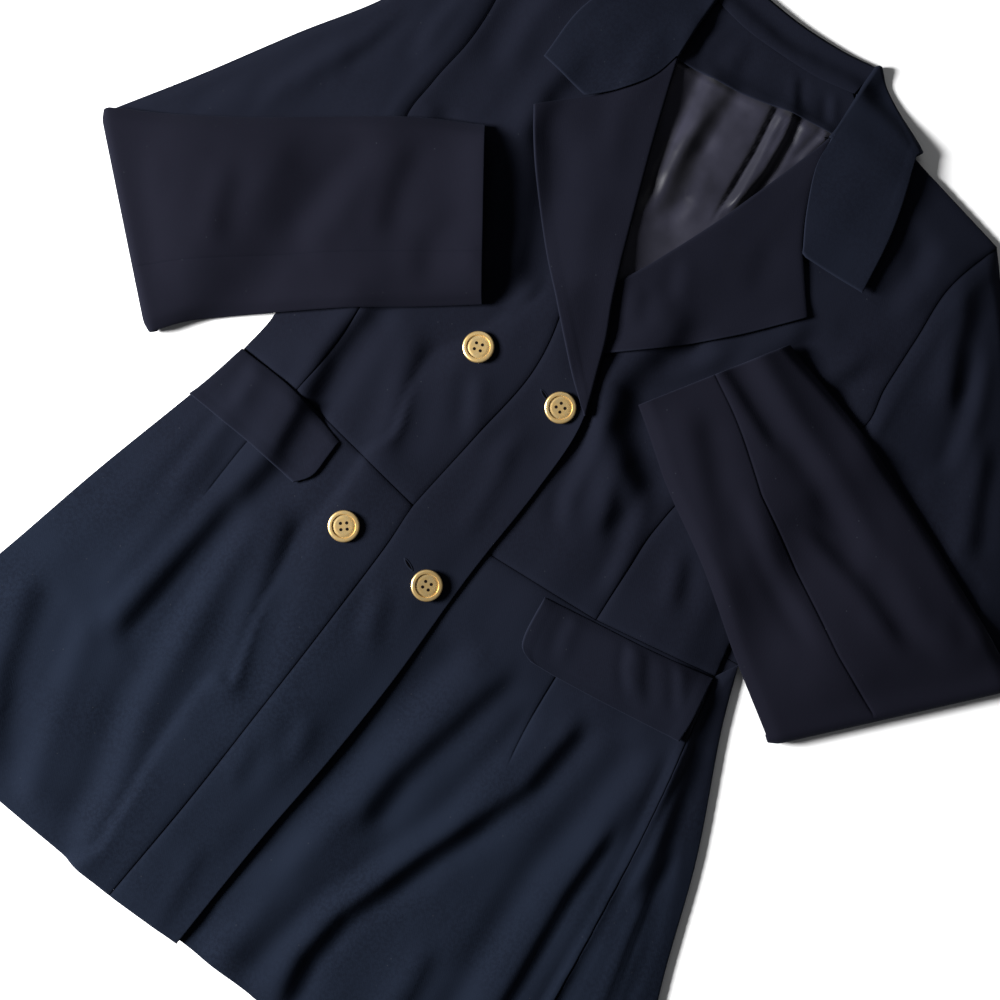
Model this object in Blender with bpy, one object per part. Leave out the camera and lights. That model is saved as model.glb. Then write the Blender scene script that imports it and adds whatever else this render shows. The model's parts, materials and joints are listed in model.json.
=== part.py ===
"""A long double-breasted blazer laid flat, front up, with both forearms folded over the body.

Frame: the floor is z = 0, +X runs to the viewer's right, +Y runs from the hem to the neck, and
the origin is on the floor under the centre back at the waist. All the sizes below are in
millimetres. Left and right are the viewer's. Every cloth piece is a wall laid on the pile of
pieces under it, so the order in which the pieces are made is the order in which they lie.
"""

import math

import bmesh
import bpy
import numpy as np
from mathutils import Vector
from mathutils.bvhtree import BVHTree

MM = 0.001

# Driving sizes
WALL = 2.0  # shell cloth with its interlining
LINING_WALL = 1.0
SEAM = 0.3  # between two panels sewn edge to edge
LAYER = 0.45  # between a panel and what it lies on
LOFT = 5.0  # how far the fronts stand off the back, away from the outline
LOFT_REACH = 42.0  # the loft has grown to its full height this far from the outline
SLEEVE_LOFT = 5.0
ROLL_LIFT = 0.3  # a lapel springs off its front by this much
ELBOW_RISE = 4.4  # between the two inner walls of a sleeve where it folds back
TURN_STEPS = 3  # rows round a folded edge
BUTTON_ACROSS = 22.5
BUTTON_THICK = 3.6
BUTTON_SIDES = 24
HOLE_ACROSS = 2.2
HOLE_PITCH = 3.6


def table(columns, *rows):
    """Rows of points under named columns."""
    names = columns.split()
    return [dict(zip(names, row)) for row in rows]


# Left front, which laps over the right one: armhole or side dart, band seam, lapel roll or edge.
OVER_BODICE = table(
    "outer band edge",
    ((-200, 368), (-84, 397), (-58, 404)),
    ((-189, 325), (-84, 380), (-61, 388)),
    ((-187, 284), (-82, 345), (-60, 356)),
    ((-192, 245), (-74, 296), (-46, 308)),
    ((-192, 207), (-60, 248), (-32, 266)),
    ((-163, 160), (-44, 200), (-13, 212)),
    ((-149, 112), (-26, 158), (8, 162)),
    ((-145, 72), (-20, 112), (28, 106)),
    ((-146, 42), (-28, 54), (29, 50)),
    ((-150, 12), (-37, -9), (24, -12)),
)
# The side panel of that bodice: dart seam and side edge, the last six rows of the table above.
OVER_SIDE = table(
    "inner outer",
    ((-192, 207), (-214, 163)),
    ((-163, 160), (-207, 130)),
    ((-149, 112), (-199, 97)),
    ((-145, 72), (-193, 64)),
    ((-146, 42), (-194, 40)),
    ((-150, 12), (-198, 16)),
)
OVER_SKIRT = table(
    "side dart band edge",
    ((-198, 16), (-150, 12), (-37, -9), (24, -12)),
    ((-211, -31), (-159, -40), (-37, -45), (22, -50)),
    ((-236, -113), (-165, -112), (-41, -118), (20, -118)),
    ((-259, -197), (-176, -196), (-46, -190), (14, -190)),
    ((-283, -275), (-192, -272), (-52, -270), (5, -266)),
    ((-292, -322), (-205, -338), (-61, -355), (-3, -357)),
)
# Right front, which runs on under the left one: armhole or princess seam, lapel roll or edge.
UNDER_BODICE = table(
    "outer edge",
    ((202, 371), (59, 404)),
    ((189, 327), (65, 388)),
    ((190, 284), (64, 364)),
    ((191, 245), (55, 337)),
    ((192, 207), (40, 294)),
    ((152, 160), (15, 237)),
    ((121, 112), (-17, 182)),
    ((113, 72), (-55, 120)),
    ((113, 36), (-76, 58)),
    ((114, -4), (-78, -12)),
)
UNDER_SIDE = table(
    "inner outer",
    ((192, 207), (215, 163)),
    ((152, 160), (208, 130)),
    ((121, 112), (200, 97)),
    ((113, 72), (197, 64)),
    ((113, 36), (201, 38)),
    ((114, -4), (206, 10)),
)
# Its skirt, and the side panel between the crease of the side seam and the outline.
UNDER_SKIRT = table(
    "edge dart seam outer",
    ((-78, -12), (114, -4), (206, 10), (215, 26)),
    ((-78, -48), (113, -51), (212, -28), (232, -22)),
    ((-79, -116), (119, -120), (226, -114), (267, -104)),
    ((-81, -190), (138, -196), (234, -185), (295, -188)),
    ((-84, -270), (152, -276), (241, -262), (326, -268)),
    ((-87, -349), (160, -365), (250, -366), (352, -350)),
)
BACK_BODICE = table(
    "left neck_a neck_b neck_c right",
    ((-200, 368), (-58, 403), (0, 397), (58, 403), (202, 371)),
    ((-189, 325), (-70, 330), (0, 330), (70, 330), (189, 327)),
    ((-187, 284), (-70, 284), (0, 284), (70, 284), (190, 284)),
    ((-192, 245), (-70, 245), (0, 245), (70, 245), (191, 245)),
    ((-192, 207), (-70, 205), (0, 205), (70, 205), (192, 207)),
    ((-214, 163), (-75, 163), (0, 163), (75, 163), (215, 163)),
    ((-199, 97), (-72, 97), (0, 97), (72, 97), (200, 97)),
    ((-194, 50), (-70, 50), (0, 50), (70, 50), (198, 50)),
    ((-198, 16), (-70, 10), (0, 10), (70, 10), (215, 26)),
)
BACK_SKIRT = table(
    "left right",
    ((-198, 16), (215, 26)),
    ((-211, -31), (232, -22)),
    ((-236, -113), (267, -104)),
    ((-259, -197), (295, -188)),
    ((-283, -275), (326, -268)),
    ((-292, -322), (352, -350)),
)
BACK_HEM_DROP = 20.0  # how far the middle of the back's hem hangs below its corners
# What shows inside the neck: the facing, then the lining under it, each row left to right.
NECK_FACING = (
    ((-55, 401), (-28, 397), (0, 395), (28, 397), (55, 401)),
    ((-76, 378), (-38, 379), (0, 378), (38, 381), (76, 385)),
    ((-80, 352), (-40, 355), (-2, 360), (34, 368), (78, 372)),
)
BACK_LINING = (
    ((-80, 352), (-40, 355), (-2, 360), (34, 368), (78, 372)),
    ((-72, 305), (-38, 306), (-3, 308), (32, 312), (66, 316)),
    ((-56, 250), (-31, 252), (-7, 254), (18, 258), (42, 262)),
    ((-38, 202), (-23, 203), (-8, 204), (7, 206), (22, 208)),
    ((-26, 180), (-18, 181), (-10, 182), (-2, 183), (6, 184)),
)
# Lapels: roll line and outer edge; the last row runs along the gorge seam to the notch.
OVER_LAPEL = (
    ((26, 110), (21, 114)),
    ((17, 136), (4, 128)),
    ((8, 162), (-16, 147)),
    ((-3, 186), (-39, 170)),
    ((-13, 212), (-63, 194)),
    ((-32, 266), (-95, 230)),
    ((-46, 308), (-112, 252)),
    ((-60, 354), (-66, 333), (-78, 315), (-92, 300), (-109, 285), (-124, 270)),
)
UNDER_LAPEL = (
    ((-47, 128), (-41, 121)),
    ((-34, 150), (-10, 136)),
    ((-17, 182), (22, 160)),
    ((0, 208), (54, 187)),
    ((14, 237), (84, 216)),
    ((36, 290), (104, 238)),
    ((62, 366), (66, 344), (74, 320), (84, 299), (92, 287), (118, 254)),
)
# Collar: its leaf over each front from the gorge to the crease on the shoulder, and the fall
# under the back between the creases. Each row runs from the neck fold to the outer edge.
LEFT_LEAF = (
    ((-60, 354), (-66, 333), (-78, 315), (-92, 300), (-136, 304)),
    ((-61, 381), (-78, 365), (-96, 354), (-114, 346), (-134, 345)),
    ((-61, 427), (-115, 392)),
)
RIGHT_LEAF = (
    ((62, 366), (66, 344), (74, 320), (88, 290), (140, 290)),
    ((62, 388), (78, 369), (95, 355), (113, 343), (133, 339)),
    ((62, 427), (118, 391)),
)
COLLAR_FALL = (
    ((-61, 427), (-115, 392)),
    ((-36, 425), (-52, 371)),
    ((0, 422), (0, 364)),
    ((36, 423), (52, 371)),
    ((62, 427), (118, 391)),
)
COLLAR_STAND = (
    ((-61, 424), (-36, 422), (0, 419), (36, 420), (61, 424)),
    ((-58, 404), (-30, 399), (0, 398), (30, 399), (58, 404)),
)
LEFT_FLAP = (
    ((-199, 15), (-150, 11), (-105, -1)),
    ((-204, -6), (-106, -16)),
    ((-209, -23), (-107, -32)),
    ((-212, -32), (-154, -37), (-115, -43)),
)
RIGHT_FLAP = (
    ((71, -12), (114, -6), (160, 0), (205, 8)),
    ((74, -27), (208, -12)),
    ((79, -43), (209, -30)),
    ((90, -54), (154, -48), (209, -42)),
)
# Sleeves, which start at the armholes: inner and outer edge down to the elbow fold, and on from
# the fold to the cuff. A seam share is where the front seam crosses a row.
LEFT_SLEEVE = table(
    "inner outer",
    ((-227, 153), (-229, 327)),
    ((-224, 118), (-256, 273)),
    ((-233, 78), (-291, 222)),
    ((-245, 34), (-331, 160)),
)
LEFT_FOLD = ((-261, -14), (-375, 98))
LEFT_FOREARM = table(
    "inner outer",
    ((-236, 14), (-325, 127)),
    ((-193, 49), (-281, 154)),
    ((-151, 81), (-236, 185)),
    ((-112, 108), (-182, 220)),
    ((-76, 134), (-144, 239)),
)
RIGHT_SLEEVE = table(
    "inner outer",
    ((228, 153), (235, 332)),
    ((224, 118), (269, 290)),
    ((233, 78), (312, 240)),
    ((246, 34), (352, 184)),
)
RIGHT_FOLD = ((264, -10), (384, 118))
RIGHT_FOREARM = table(
    "inner outer",
    ((209, 29), (358, 136)),
    ((154, 69), (306, 160)),
    ((104, 100), (252, 185)),
    ((72, 124), (184, 212)),
    ((54, 137), (118, 231)),
)
LEFT_SEAM_SHARES = (0.29, 0.29, 0.29, 0.29, 0.29, 0.29)  # from the elbow fold to the cuff
RIGHT_SEAM_SHARES = (0.43, 0.385, 0.37, 0.38, 0.44, 0.50)

BUTTONS = table(
    "place",
    ((-61, 108),),
    ((10, 105),),
    ((-69, -48),),
    ((2, -50),),
)

# The largest folds: a soft ridge, or a trough where height is negative, from start to end.
FOLDS = [
    dict(zip(("start", "end", "width", "height"), row))
    for row in (
        ((96, -70), (62, -345), 26, 5.0),
        ((156, -80), (104, -290), 14, -3.5),
        ((196, -90), (176, -350), 20, 5.0),
        ((216, -95), (222, -350), 9, 4.0),
        ((246, -100), (256, -355), 10, -3.0),
        ((274, -150), (304, -345), 12, 4.5),
        ((-118, -60), (-96, -300), 26, 4.5),
        ((-146, -60), (-154, -190), 13, -3.5),
        ((-190, -70), (-226, -300), 22, 4.0),
        ((-80, -80), (-60, -200), 12, -3.0),
        ((-118, 60), (-108, -30), 14, 5.0),
        ((58, 10), (30, 110), 16, 4.0),
        ((90, 20), (66, 120), 12, -4.0),
        ((-120, 260), (-96, 130), 20, 4.0),
        ((150, 330), (135, 230), 24, 4.0),
        ((226, 310), (250, 200), 18, 4.0),
        ((-236, 280), (-296, 160), 20, 4.0),
    )
]
LINING_FOLDS = [
    dict(zip(("start", "end", "width", "height"), row))
    for row in (
        ((-22, 352), (-30, 260), 9, 3.5),
        ((28, 362), (24, 285), 7, 5.0),
    )
]
# The outline of the flat garment without its forearms, from the left hem corner clockwise.
OUTLINE = (
    [row["side"] for row in OVER_SKIRT[::-1]]
    + [row["outer"] for row in OVER_SIDE[::-1]]
    + [row["inner"] for row in LEFT_SLEEVE]
    + list(LEFT_FOLD)
    + [row["outer"] for row in LEFT_SLEEVE[::-1]]
    + [(-200, 368), (-58, 404), (58, 404), (202, 371)]
    + [row["outer"] for row in RIGHT_SLEEVE]
    + list(RIGHT_FOLD[::-1])
    + [row["inner"] for row in RIGHT_SLEEVE[::-1]]
    + [row["outer"] for row in UNDER_SIDE]
    + [row["outer"] for row in UNDER_SKIRT]
    + [(160, -372), (0, -372), (-160, -350)]
)

COLOURS = {
    "navy": ((0.013, 0.017, 0.030), 0.85, 0.0),
    "lining": ((0.055, 0.056, 0.070), 0.38, 0.0),
    "gold": ((0.72, 0.47, 0.16), 0.28, 1.0),
}


def clear_scene():
    for obj in list(bpy.data.objects):
        bpy.data.objects.remove(obj)


def make_materials():
    for name, (colour, roughness, metallic) in COLOURS.items():
        material = bpy.data.materials.new(name)
        material.use_nodes = True
        shader = material.node_tree.nodes["Principled BSDF"]
        shader.inputs["Base Color"].default_value = (*colour, 1.0)
        shader.inputs["Roughness"].default_value = roughness
        shader.inputs["Metallic"].default_value = metallic


class Pile:
    """What has been laid so far, in millimetres, and the height of its top over a point."""

    ABOVE = 500.0

    def __init__(self):
        self.points, self.faces, self.tree = [], [], None

    def add(self, points, faces):
        first = len(self.points)
        self.points += [Vector(p) for p in points]
        self.faces += [tuple(first + i for i in face) for face in faces]
        self.tree = None

    def copy(self):
        other = Pile()
        other.points, other.faces = list(self.points), list(self.faces)
        return other

    def top(self, x, y):
        """The floor counts as one layer gap lower, so that what lies on it touches it."""
        if self.tree is None and self.faces:
            self.tree = BVHTree.FromPolygons(self.points, self.faces)
        hit = self.tree.ray_cast(Vector((x, y, self.ABOVE)), Vector((0, 0, -1)))[0] if self.faces else None
        return hit.z if hit else -LAYER


def spread(points, cells):
    """A row of cells + 1 points along the polyline; a row that has as many is kept."""
    points = np.array(points, float)
    if len(points) == cells + 1:
        return points
    along = np.concatenate([[0], np.cumsum(np.linalg.norm(np.diff(points, axis=0), axis=1))])
    at = np.linspace(0, along[-1], cells + 1)
    return np.stack([np.interp(at, along, points[:, k]) for k in range(2)], axis=1)


def across(rows, names, cells):
    """Each table row as one line of points through its named columns."""
    lines = []
    for row in rows:
        parts = [
            spread([row[a], row[b]], count)[:-1]
            for a, b, count in zip(names, names[1:], cells)
        ]
        lines.append(np.vstack([*parts, [row[names[-1]]]]))
    return np.array(lines)


def between(rows, steps):
    """Rows on smooth curves through the given rows, steps to each interval."""
    rows = np.array(rows, float)
    first, last = 2 * rows[0] - rows[1], 2 * rows[-1] - rows[-2]
    padded = np.concatenate([[first], rows, [last]])
    made = []
    for a, b, c, d in zip(padded, padded[1:], padded[2:], padded[3:]):
        for k in range(steps):
            t = k / steps
            made.append(
                0.5
                * (
                    2 * b
                    + (c - a) * t
                    + (2 * a - 5 * b + 4 * c - d) * t**2
                    + (3 * b - a - 3 * c + d) * t**3
                )
            )
    return np.array([*made, rows[-1]])


def inset(grid, by=SEAM / 2):
    """The grid with its four edges drawn in, which leaves the seam gap to its neighbours."""
    drawn = grid.copy()
    for edge, inner in ((0, 1), (-1, -2)):
        for target, source in (
            (drawn[edge], grid[inner] - grid[edge]),
            (drawn[:, edge], grid[:, inner] - grid[:, edge]),
        ):
            flat = source[..., :2]
            length = np.maximum(np.linalg.norm(flat, axis=-1, keepdims=True), 1e-6)
            target[..., :2] += by * flat / length
    return drawn


def smooth_step(t):
    t = np.clip(t, 0, 1)
    return t * t * (3 - 2 * t)


def distance_to(points, start, end):
    """How far each point is from a segment, and how far along it, from 0 to 1."""
    start, end = np.array(start, float), np.array(end, float)
    line = end - start
    share = np.clip((points - start) @ line / max(line @ line, 1e-9), 0, 1)
    return np.linalg.norm(points - start - share[..., None] * line, axis=-1), share


def fold_heights(points, folds):
    height = np.zeros(points.shape[:-1])
    for fold in folds:
        away, _ = distance_to(points, fold["start"], fold["end"])
        height += fold["height"] * np.exp(-((away / fold["width"]) ** 2))
    return height


def relief(points):
    """How far a top wall stands off the wall under it: the loft and the large folds."""
    corners = list(zip(OUTLINE, OUTLINE[1:] + OUTLINE[:1]))
    away = np.min([distance_to(points, a, b)[0] for a, b in corners], axis=0)
    share = smooth_step(away / LOFT_REACH)
    return share * np.maximum(0, LOFT + fold_heights(points, FOLDS))


def rest(grid, pile, reach, wall=WALL):
    """Middle heights at which a wall clears all that lies under it, within reach."""
    ring = [(0, 0)] + [
        (reach * share * math.cos(a), reach * share * math.sin(a))
        for share in (0.25, 0.5, 0.75, 1.0)
        for a in np.linspace(0, 2 * math.pi, 10, endpoint=False)
    ]
    height = np.zeros(grid.shape[:2])
    for i, j in np.ndindex(height.shape):
        x, y = grid[i, j, :2]
        height[i, j] = max(pile.top(x + dx, y + dy) for dx, dy in ring)
    return height + LAYER + wall / 2


def membrane(height, times):
    """Cloth bridges hollows: a height rises to the mean of its neighbours, and never sinks."""
    floor, height = height, height.copy()
    for _ in range(times):
        wide = np.pad(height, 1, mode="edge")
        mean = (wide[:-2, 1:-1] + wide[2:, 1:-1] + wide[1:-1, :-2] + wide[1:-1, 2:]) / 4
        height = np.maximum(floor, mean)
    return height


def upright(grid):
    """Wall directions of a sheet that is laid without folding over."""
    return np.broadcast_to((0.0, 0.0, 1.0), grid.shape)


def facing(grid):
    """Wall directions of a sheet that turns over, from its own rows and columns."""
    down, side = np.gradient(grid, axis=0), np.gradient(grid, axis=1)
    normal = np.cross(down, side)
    return normal / np.linalg.norm(normal, axis=-1, keepdims=True)


def closed_wall(grid, directions, wall):
    """Points and faces of the closed wall round a grid of middle points."""
    rows, columns = grid.shape[:2]
    skins = [grid + directions * wall / 2, grid - directions * wall / 2]
    points = np.concatenate([skin.reshape(-1, 3) for skin in skins])
    under = rows * columns

    def at(i, j, skin=0):
        return skin * under + i * columns + j

    faces = []
    for i in range(rows - 1):
        for j in range(columns - 1):
            square = ((i, j), (i, j + 1), (i + 1, j + 1), (i + 1, j))
            faces.append([at(*corner) for corner in square])
            faces.append([at(*corner, 1) for corner in square[::-1]])
    rim = [(0, j) for j in range(columns - 1)]
    rim += [(i, columns - 1) for i in range(rows - 1)]
    rim += [(rows - 1, j) for j in range(columns - 1, 0, -1)]
    rim += [(i, 0) for i in range(rows - 1, 0, -1)]
    for a, b in zip(rim, rim[1:] + rim[:1]):
        faces.append([at(*a), at(*a, 1), at(*b, 1), at(*b)])
    return points, faces


def make_solid(name, points, faces, material):
    mesh = bpy.data.meshes.new(name)
    mesh.from_pydata([tuple(p * MM) for p in points], [], faces)
    mesh.materials.append(bpy.data.materials[material])
    shape = bmesh.new()
    shape.from_mesh(mesh)
    bmesh.ops.recalc_face_normals(shape, faces=shape.faces)
    bmesh.ops.triangulate(shape, faces=shape.faces)
    shape.to_mesh(mesh)
    shape.free()
    obj = bpy.data.objects.new(name, mesh)
    bpy.context.scene.collection.objects.link(obj)
    return obj


def cloth(name, grid, pile, directions=None, wall=WALL, material="navy"):
    """Makes one piece of cloth and lays it on the pile."""
    directions = upright(grid) if directions is None else directions
    points, faces = closed_wall(grid, directions, wall)
    pile.add(points, faces)
    return make_solid(name, points, faces, material)


def with_height(flat, height):
    return np.concatenate([flat, height[..., None]], axis=-1)


def reach_of(flat):
    """The longest step between neighbours in a grid."""
    steps = [np.linalg.norm(np.diff(flat, axis=k), axis=-1) for k in (0, 1)]
    return max(np.percentile(step, 90) for step in steps)


# Body

BODICE_CELLS = 6
UNDERLAP_CELLS = 2
SIDE_CELLS = 3
BAND_CELLS = 3
ROW_STEPS = 2
ARMHOLE_ROWS = 4 * ROW_STEPS


def armhole(bodice, side):
    """An armhole's level points, from the armpit to the shoulder."""
    curve = between([row["outer"] for row in bodice], ROW_STEPS)[: ARMHOLE_ROWS + 1]
    panel = spread([side[0]["outer"], side[0]["inner"]], SIDE_CELLS)
    return np.concatenate([panel, curve[-2::-1]])


def follow_armhole(edge, points):
    """Moves the top of a side edge onto an armhole, down to the armpit."""
    edge[: ARMHOLE_ROWS + 1] = points[: SIDE_CELLS - 1 : -1]
    below = spread([points[SIDE_CELLS], points[0]], ROW_STEPS)
    edge[ARMHOLE_ROWS : ARMHOLE_ROWS + ROW_STEPS + 1] = below


def lay_back(pile, left_armhole, right_armhole):
    """The back rests on the fall of the collar at the neck, and on the floor elsewhere."""
    fall = between([spread(row, 4) for row in COLLAR_FALL], 2)
    under_neck = pile.copy()
    under_neck.add(*closed_wall(*level(fall, WALL / 2), WALL))
    columns = ("left", "neck_a", "neck_b", "neck_c", "right")
    bodice = between(across(BACK_BODICE, columns, (1, 2, 2, 1)), ROW_STEPS)
    follow_armhole(bodice[:, 0], left_armhole)
    follow_armhole(bodice[:, -1], right_armhole)
    skirt = across(BACK_SKIRT, ("left", "right"), (6,))
    skirt[0] = bodice[-1]
    drop = np.linspace(0, 1, len(skirt)) ** 2
    bow = 1 - np.linspace(-1, 1, skirt.shape[1]) ** 2
    skirt[:, :, 1] -= BACK_HEM_DROP * drop[:, None] * bow
    heights = membrane(rest(bodice, under_neck, 1.4 * reach_of(bodice)), 2)
    cloth("back_bodice", inset(with_height(bodice, heights)), pile)
    cloth("back_skirt", inset(with_height(skirt, np.full(skirt.shape[:2], WALL / 2))), pile)
    stand = between([spread(row, 8) for row in COLLAR_STAND], 2)
    under_neck.add(*closed_wall(with_height(bodice, heights), upright(with_height(bodice, heights)), WALL))
    cloth("collar_stand", inset(with_height(stand, rest(stand, under_neck, 4.0))), pile)


def level(flat, height):
    grid = with_height(flat, np.full(flat.shape[:2], height))
    return grid, upright(grid)


def lay_neck(pile):
    facing_rows = between([spread(row, 8) for row in NECK_FACING], 2)
    heights = rest(facing_rows, pile, 6.0, LINING_WALL)
    lining = between([spread(row, 8) for row in BACK_LINING], 2)
    folds = rest(lining, pile, 9.0, LINING_WALL) + np.maximum(0, fold_heights(lining, LINING_FOLDS))
    cloth("neck_facing", inset(with_height(facing_rows, heights)), pile, wall=LINING_WALL)
    cloth("back_lining", inset(with_height(lining, folds)), pile, wall=LINING_WALL, material="lining")


def front_heights(flat, pile):
    base = WALL * 1.5 + LAYER
    return np.maximum(membrane(rest(flat, pile, reach_of(flat)), 8), base + relief(flat))


def join(bodice, side, skirt, side_first):
    """The three parts of a front share their points along the seams between them."""
    if side_first:
        side[:, -1] = bodice[-len(side) :, 0]
        waist = np.concatenate([side[-1, :-1], bodice[-1]])
    else:
        side[:, 0] = bodice[-len(side) :, -1]
        waist = np.concatenate([bodice[-1], side[-1, 1:]])
    skirt[0, : len(waist)] = waist


def lay_under_front(pile):
    bodice = between(across(UNDER_BODICE, ("edge", "outer"), (BODICE_CELLS + UNDERLAP_CELLS,)), ROW_STEPS)
    side = between(across(UNDER_SIDE, ("inner", "outer"), (SIDE_CELLS,)), ROW_STEPS)
    columns = ("edge", "dart", "seam", "outer")
    skirt = between(across(UNDER_SKIRT, columns, (BODICE_CELLS + UNDERLAP_CELLS, SIDE_CELLS, 3)), ROW_STEPS)
    bodice, side, skirt = (with_height(part, front_heights(part, pile)) for part in (bodice, side, skirt))
    join(bodice, side, skirt, side_first=False)
    seam = BODICE_CELLS + UNDERLAP_CELLS + SIDE_CELLS
    cloth("right_front_bodice", inset(bodice), pile)
    cloth("right_front_side", inset(side), pile)
    cloth("right_front_skirt", inset(skirt[:, : seam + 1]), pile)
    cloth("right_side_skirt", inset(skirt[:, seam:]), pile)


def lay_over_front(pile):
    bodice = between(across(OVER_BODICE, ("outer", "band", "edge"), (BODICE_CELLS, BAND_CELLS)), ROW_STEPS)
    side = between(across(OVER_SIDE, ("outer", "inner"), (SIDE_CELLS,)), ROW_STEPS)
    columns = ("side", "dart", "band", "edge")
    skirt = between(across(OVER_SKIRT, columns, (SIDE_CELLS, BODICE_CELLS, BAND_CELLS)), ROW_STEPS)
    bodice, side, skirt = (with_height(part, front_heights(part, pile)) for part in (bodice, side, skirt))
    join(bodice, side, skirt, side_first=True)
    cloth("left_front_bodice", inset(bodice[:, : BODICE_CELLS + 1]), pile)
    cloth("left_front_side", inset(side), pile)
    cloth("left_front_skirt", inset(skirt[:, : SIDE_CELLS + BODICE_CELLS + 1]), pile)
    band = np.concatenate([bodice[:, BODICE_CELLS:], skirt[1:, SIDE_CELLS + BODICE_CELLS :]])
    cloth("left_front_band", inset(band), pile)


# Flaps, lapels and collar


def lay_flap(name, rows, pile):
    flat = between([spread(row, 6) for row in rows], 2)
    cloth(name, inset(with_height(flat, membrane(rest(flat, pile, 9.0), 4))), pile)


def lay_lapel(name, rows, pile, side):
    """A lapel lies on its front, and hooks down over the front's edge along the roll."""
    flat = between([spread(row, 5) for row in rows], 2)
    height = membrane(rest(flat, pile, 1.3 * reach_of(flat)), 3) + ROLL_LIFT
    along = np.gradient(flat[:, 0], axis=0)
    outward = side * np.stack([along[:, 1], -along[:, 0]], axis=1)
    outward /= np.linalg.norm(outward, axis=1, keepdims=True)
    radius = WALL * 0.6 + 0.2
    hook = []
    for angle in (0, 45):
        turn = math.radians(angle)
        spot = flat[:, 0] + outward * radius * math.cos(turn)
        hook.append(with_height(spot, height[:, 0] - radius * (1 - math.sin(turn))))
    grid = np.concatenate([np.stack(hook, axis=1), with_height(flat, height)], axis=1)
    drawn = inset(grid)
    cloth(name, drawn, pile, facing(drawn))


def turned_edge(start, end, outward):
    """Rows round a folded edge, from the start row to the end row right over or under it."""
    radius = (start[:, 2] - end[:, 2]) / 2
    middle = (start[:, 2] + end[:, 2]) / 2
    rows = []
    for k in range(1, TURN_STEPS + 1):
        angle = math.pi * (0.5 - k / (TURN_STEPS + 1))
        spot = start[:, :2] + outward * np.abs(radius)[:, None] * math.cos(angle)
        rows.append(np.column_stack([spot, middle + radius * math.sin(angle)]))
    return np.array(rows)


def away_from(fold, inside):
    """The level direction square to a fold line, pointing away from a point inside."""
    a, b = np.array(fold[0], float), np.array(fold[-1], float)
    square = np.array([(b - a)[1], -(b - a)[0]])
    square /= np.linalg.norm(square)
    return square if square @ (a - np.array(inside)) > 0 else -square


def lay_collar(pile):
    cells, inside = 4, (0, 300)
    left = between([spread(row, cells) for row in LEFT_LEAF], 2)
    right = between([spread(row, cells) for row in RIGHT_LEAF], 2)[::-1]
    fall = between([spread(row, cells) for row in COLLAR_FALL], 2)
    leaves = [with_height(leaf, membrane(rest(leaf, pile, 18.0), 4)) for leaf in (left, right)]
    fall, _ = level(fall, WALL / 2)
    turns = [
        turned_edge(leaves[0][-1], fall[0], away_from(left[-1], inside)),
        turned_edge(fall[-1], leaves[1][0], away_from(right[0], inside)),
    ]
    grid = inset(np.concatenate([leaves[0], turns[0], fall, turns[1], leaves[1]]), 2 * SEAM)
    cloth("collar", grid, pile, facing(grid))


# Sleeves

STRIP_CELLS = 3
SLEEVE_CELLS = 8


def sleeve_row(points, share):
    """One line across a sleeve, with a column on its front seam."""
    line = spread(points, 40)
    along = np.linspace(0, 1, 41)
    at = np.concatenate(
        [np.linspace(0, share, STRIP_CELLS + 1)[:-1], np.linspace(share, 1, SLEEVE_CELLS + 1)]
    )
    return np.stack([np.interp(at, along, line[:, k]) for k in range(2)], axis=1)


def lay_sleeve(name, armhole, sleeve, fold, forearm, shares, pile):
    upper_rows = [(row["inner"], row["outer"]) for row in sleeve] + [fold]
    upper = between([armhole] + [sleeve_row(row, shares[0]) for row in upper_rows], 2)
    lower_rows = [fold] + [(row["inner"], row["outer"]) for row in forearm]
    lower = between([sleeve_row(row, share) for row, share in zip(lower_rows, shares)], 1)
    layer = WALL + LAYER

    # Upper arm: the under wall on the floor, the top wall on it.
    floor_wall, _ = level(upper, WALL / 2)
    top_wall = with_height(upper, WALL / 2 + layer + relief(upper))
    below = pile.copy()
    for wall in (floor_wall, top_wall):
        below.add(*closed_wall(wall, upright(wall), WALL))

    # Forearm: folded over at the elbow, and laid on the upper arm and the front.
    bounds = rest(lower, below, reach_of(lower))
    bounds[0] = np.maximum(bounds[0], top_wall[-1, :, 2] + ELBOW_RISE)
    inner = with_height(lower, membrane(bounds, 20))
    rows, columns = lower.shape[:2]
    from_fold = smooth_step(np.linspace(0, 3, rows))[:, None]
    crown = np.sin(math.pi * np.linspace(0, 1, columns))[None, :] ** 0.7
    outer = inner.copy()
    outer[..., 2] += layer + SLEEVE_LOFT * from_fold * crown

    outward = away_from(fold, armhole[0])
    inner_sheet = np.concatenate([top_wall, turned_edge(top_wall[-1], inner[0], outward), inner])
    outer_sheet = np.concatenate([floor_wall, turned_edge(floor_wall[-1], outer[0], outward), outer])
    inner_sheet, outer_faces = inset(inner_sheet, SEAM), facing(outer_sheet)
    cloth(f"{name}_top_sleeve", inner_sheet, pile, facing(inner_sheet))
    strip, main = slice(0, STRIP_CELLS + 1), slice(STRIP_CELLS, None)
    cloth(f"{name}_sleeve_front_strip", inset(outer_sheet[:, strip]), pile, outer_faces[:, strip])
    cloth(f"{name}_under_sleeve", inset(outer_sheet[:, main]), pile, outer_faces[:, main])


# Buttons


def button_profile():
    """Half section of a dished, rimmed button, from its axis under the dish round to its face."""
    radius = BUTTON_ACROSS / 2
    return (
        (0.0, 0.0),
        (radius * 0.82, 0.0),
        (radius, BUTTON_THICK * 0.50),
        (radius * 0.95, BUTTON_THICK * 0.92),
        (radius * 0.84, BUTTON_THICK),
        (radius * 0.69, BUTTON_THICK * 0.60),
        (0.0, BUTTON_THICK * 0.50),
    )


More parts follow.
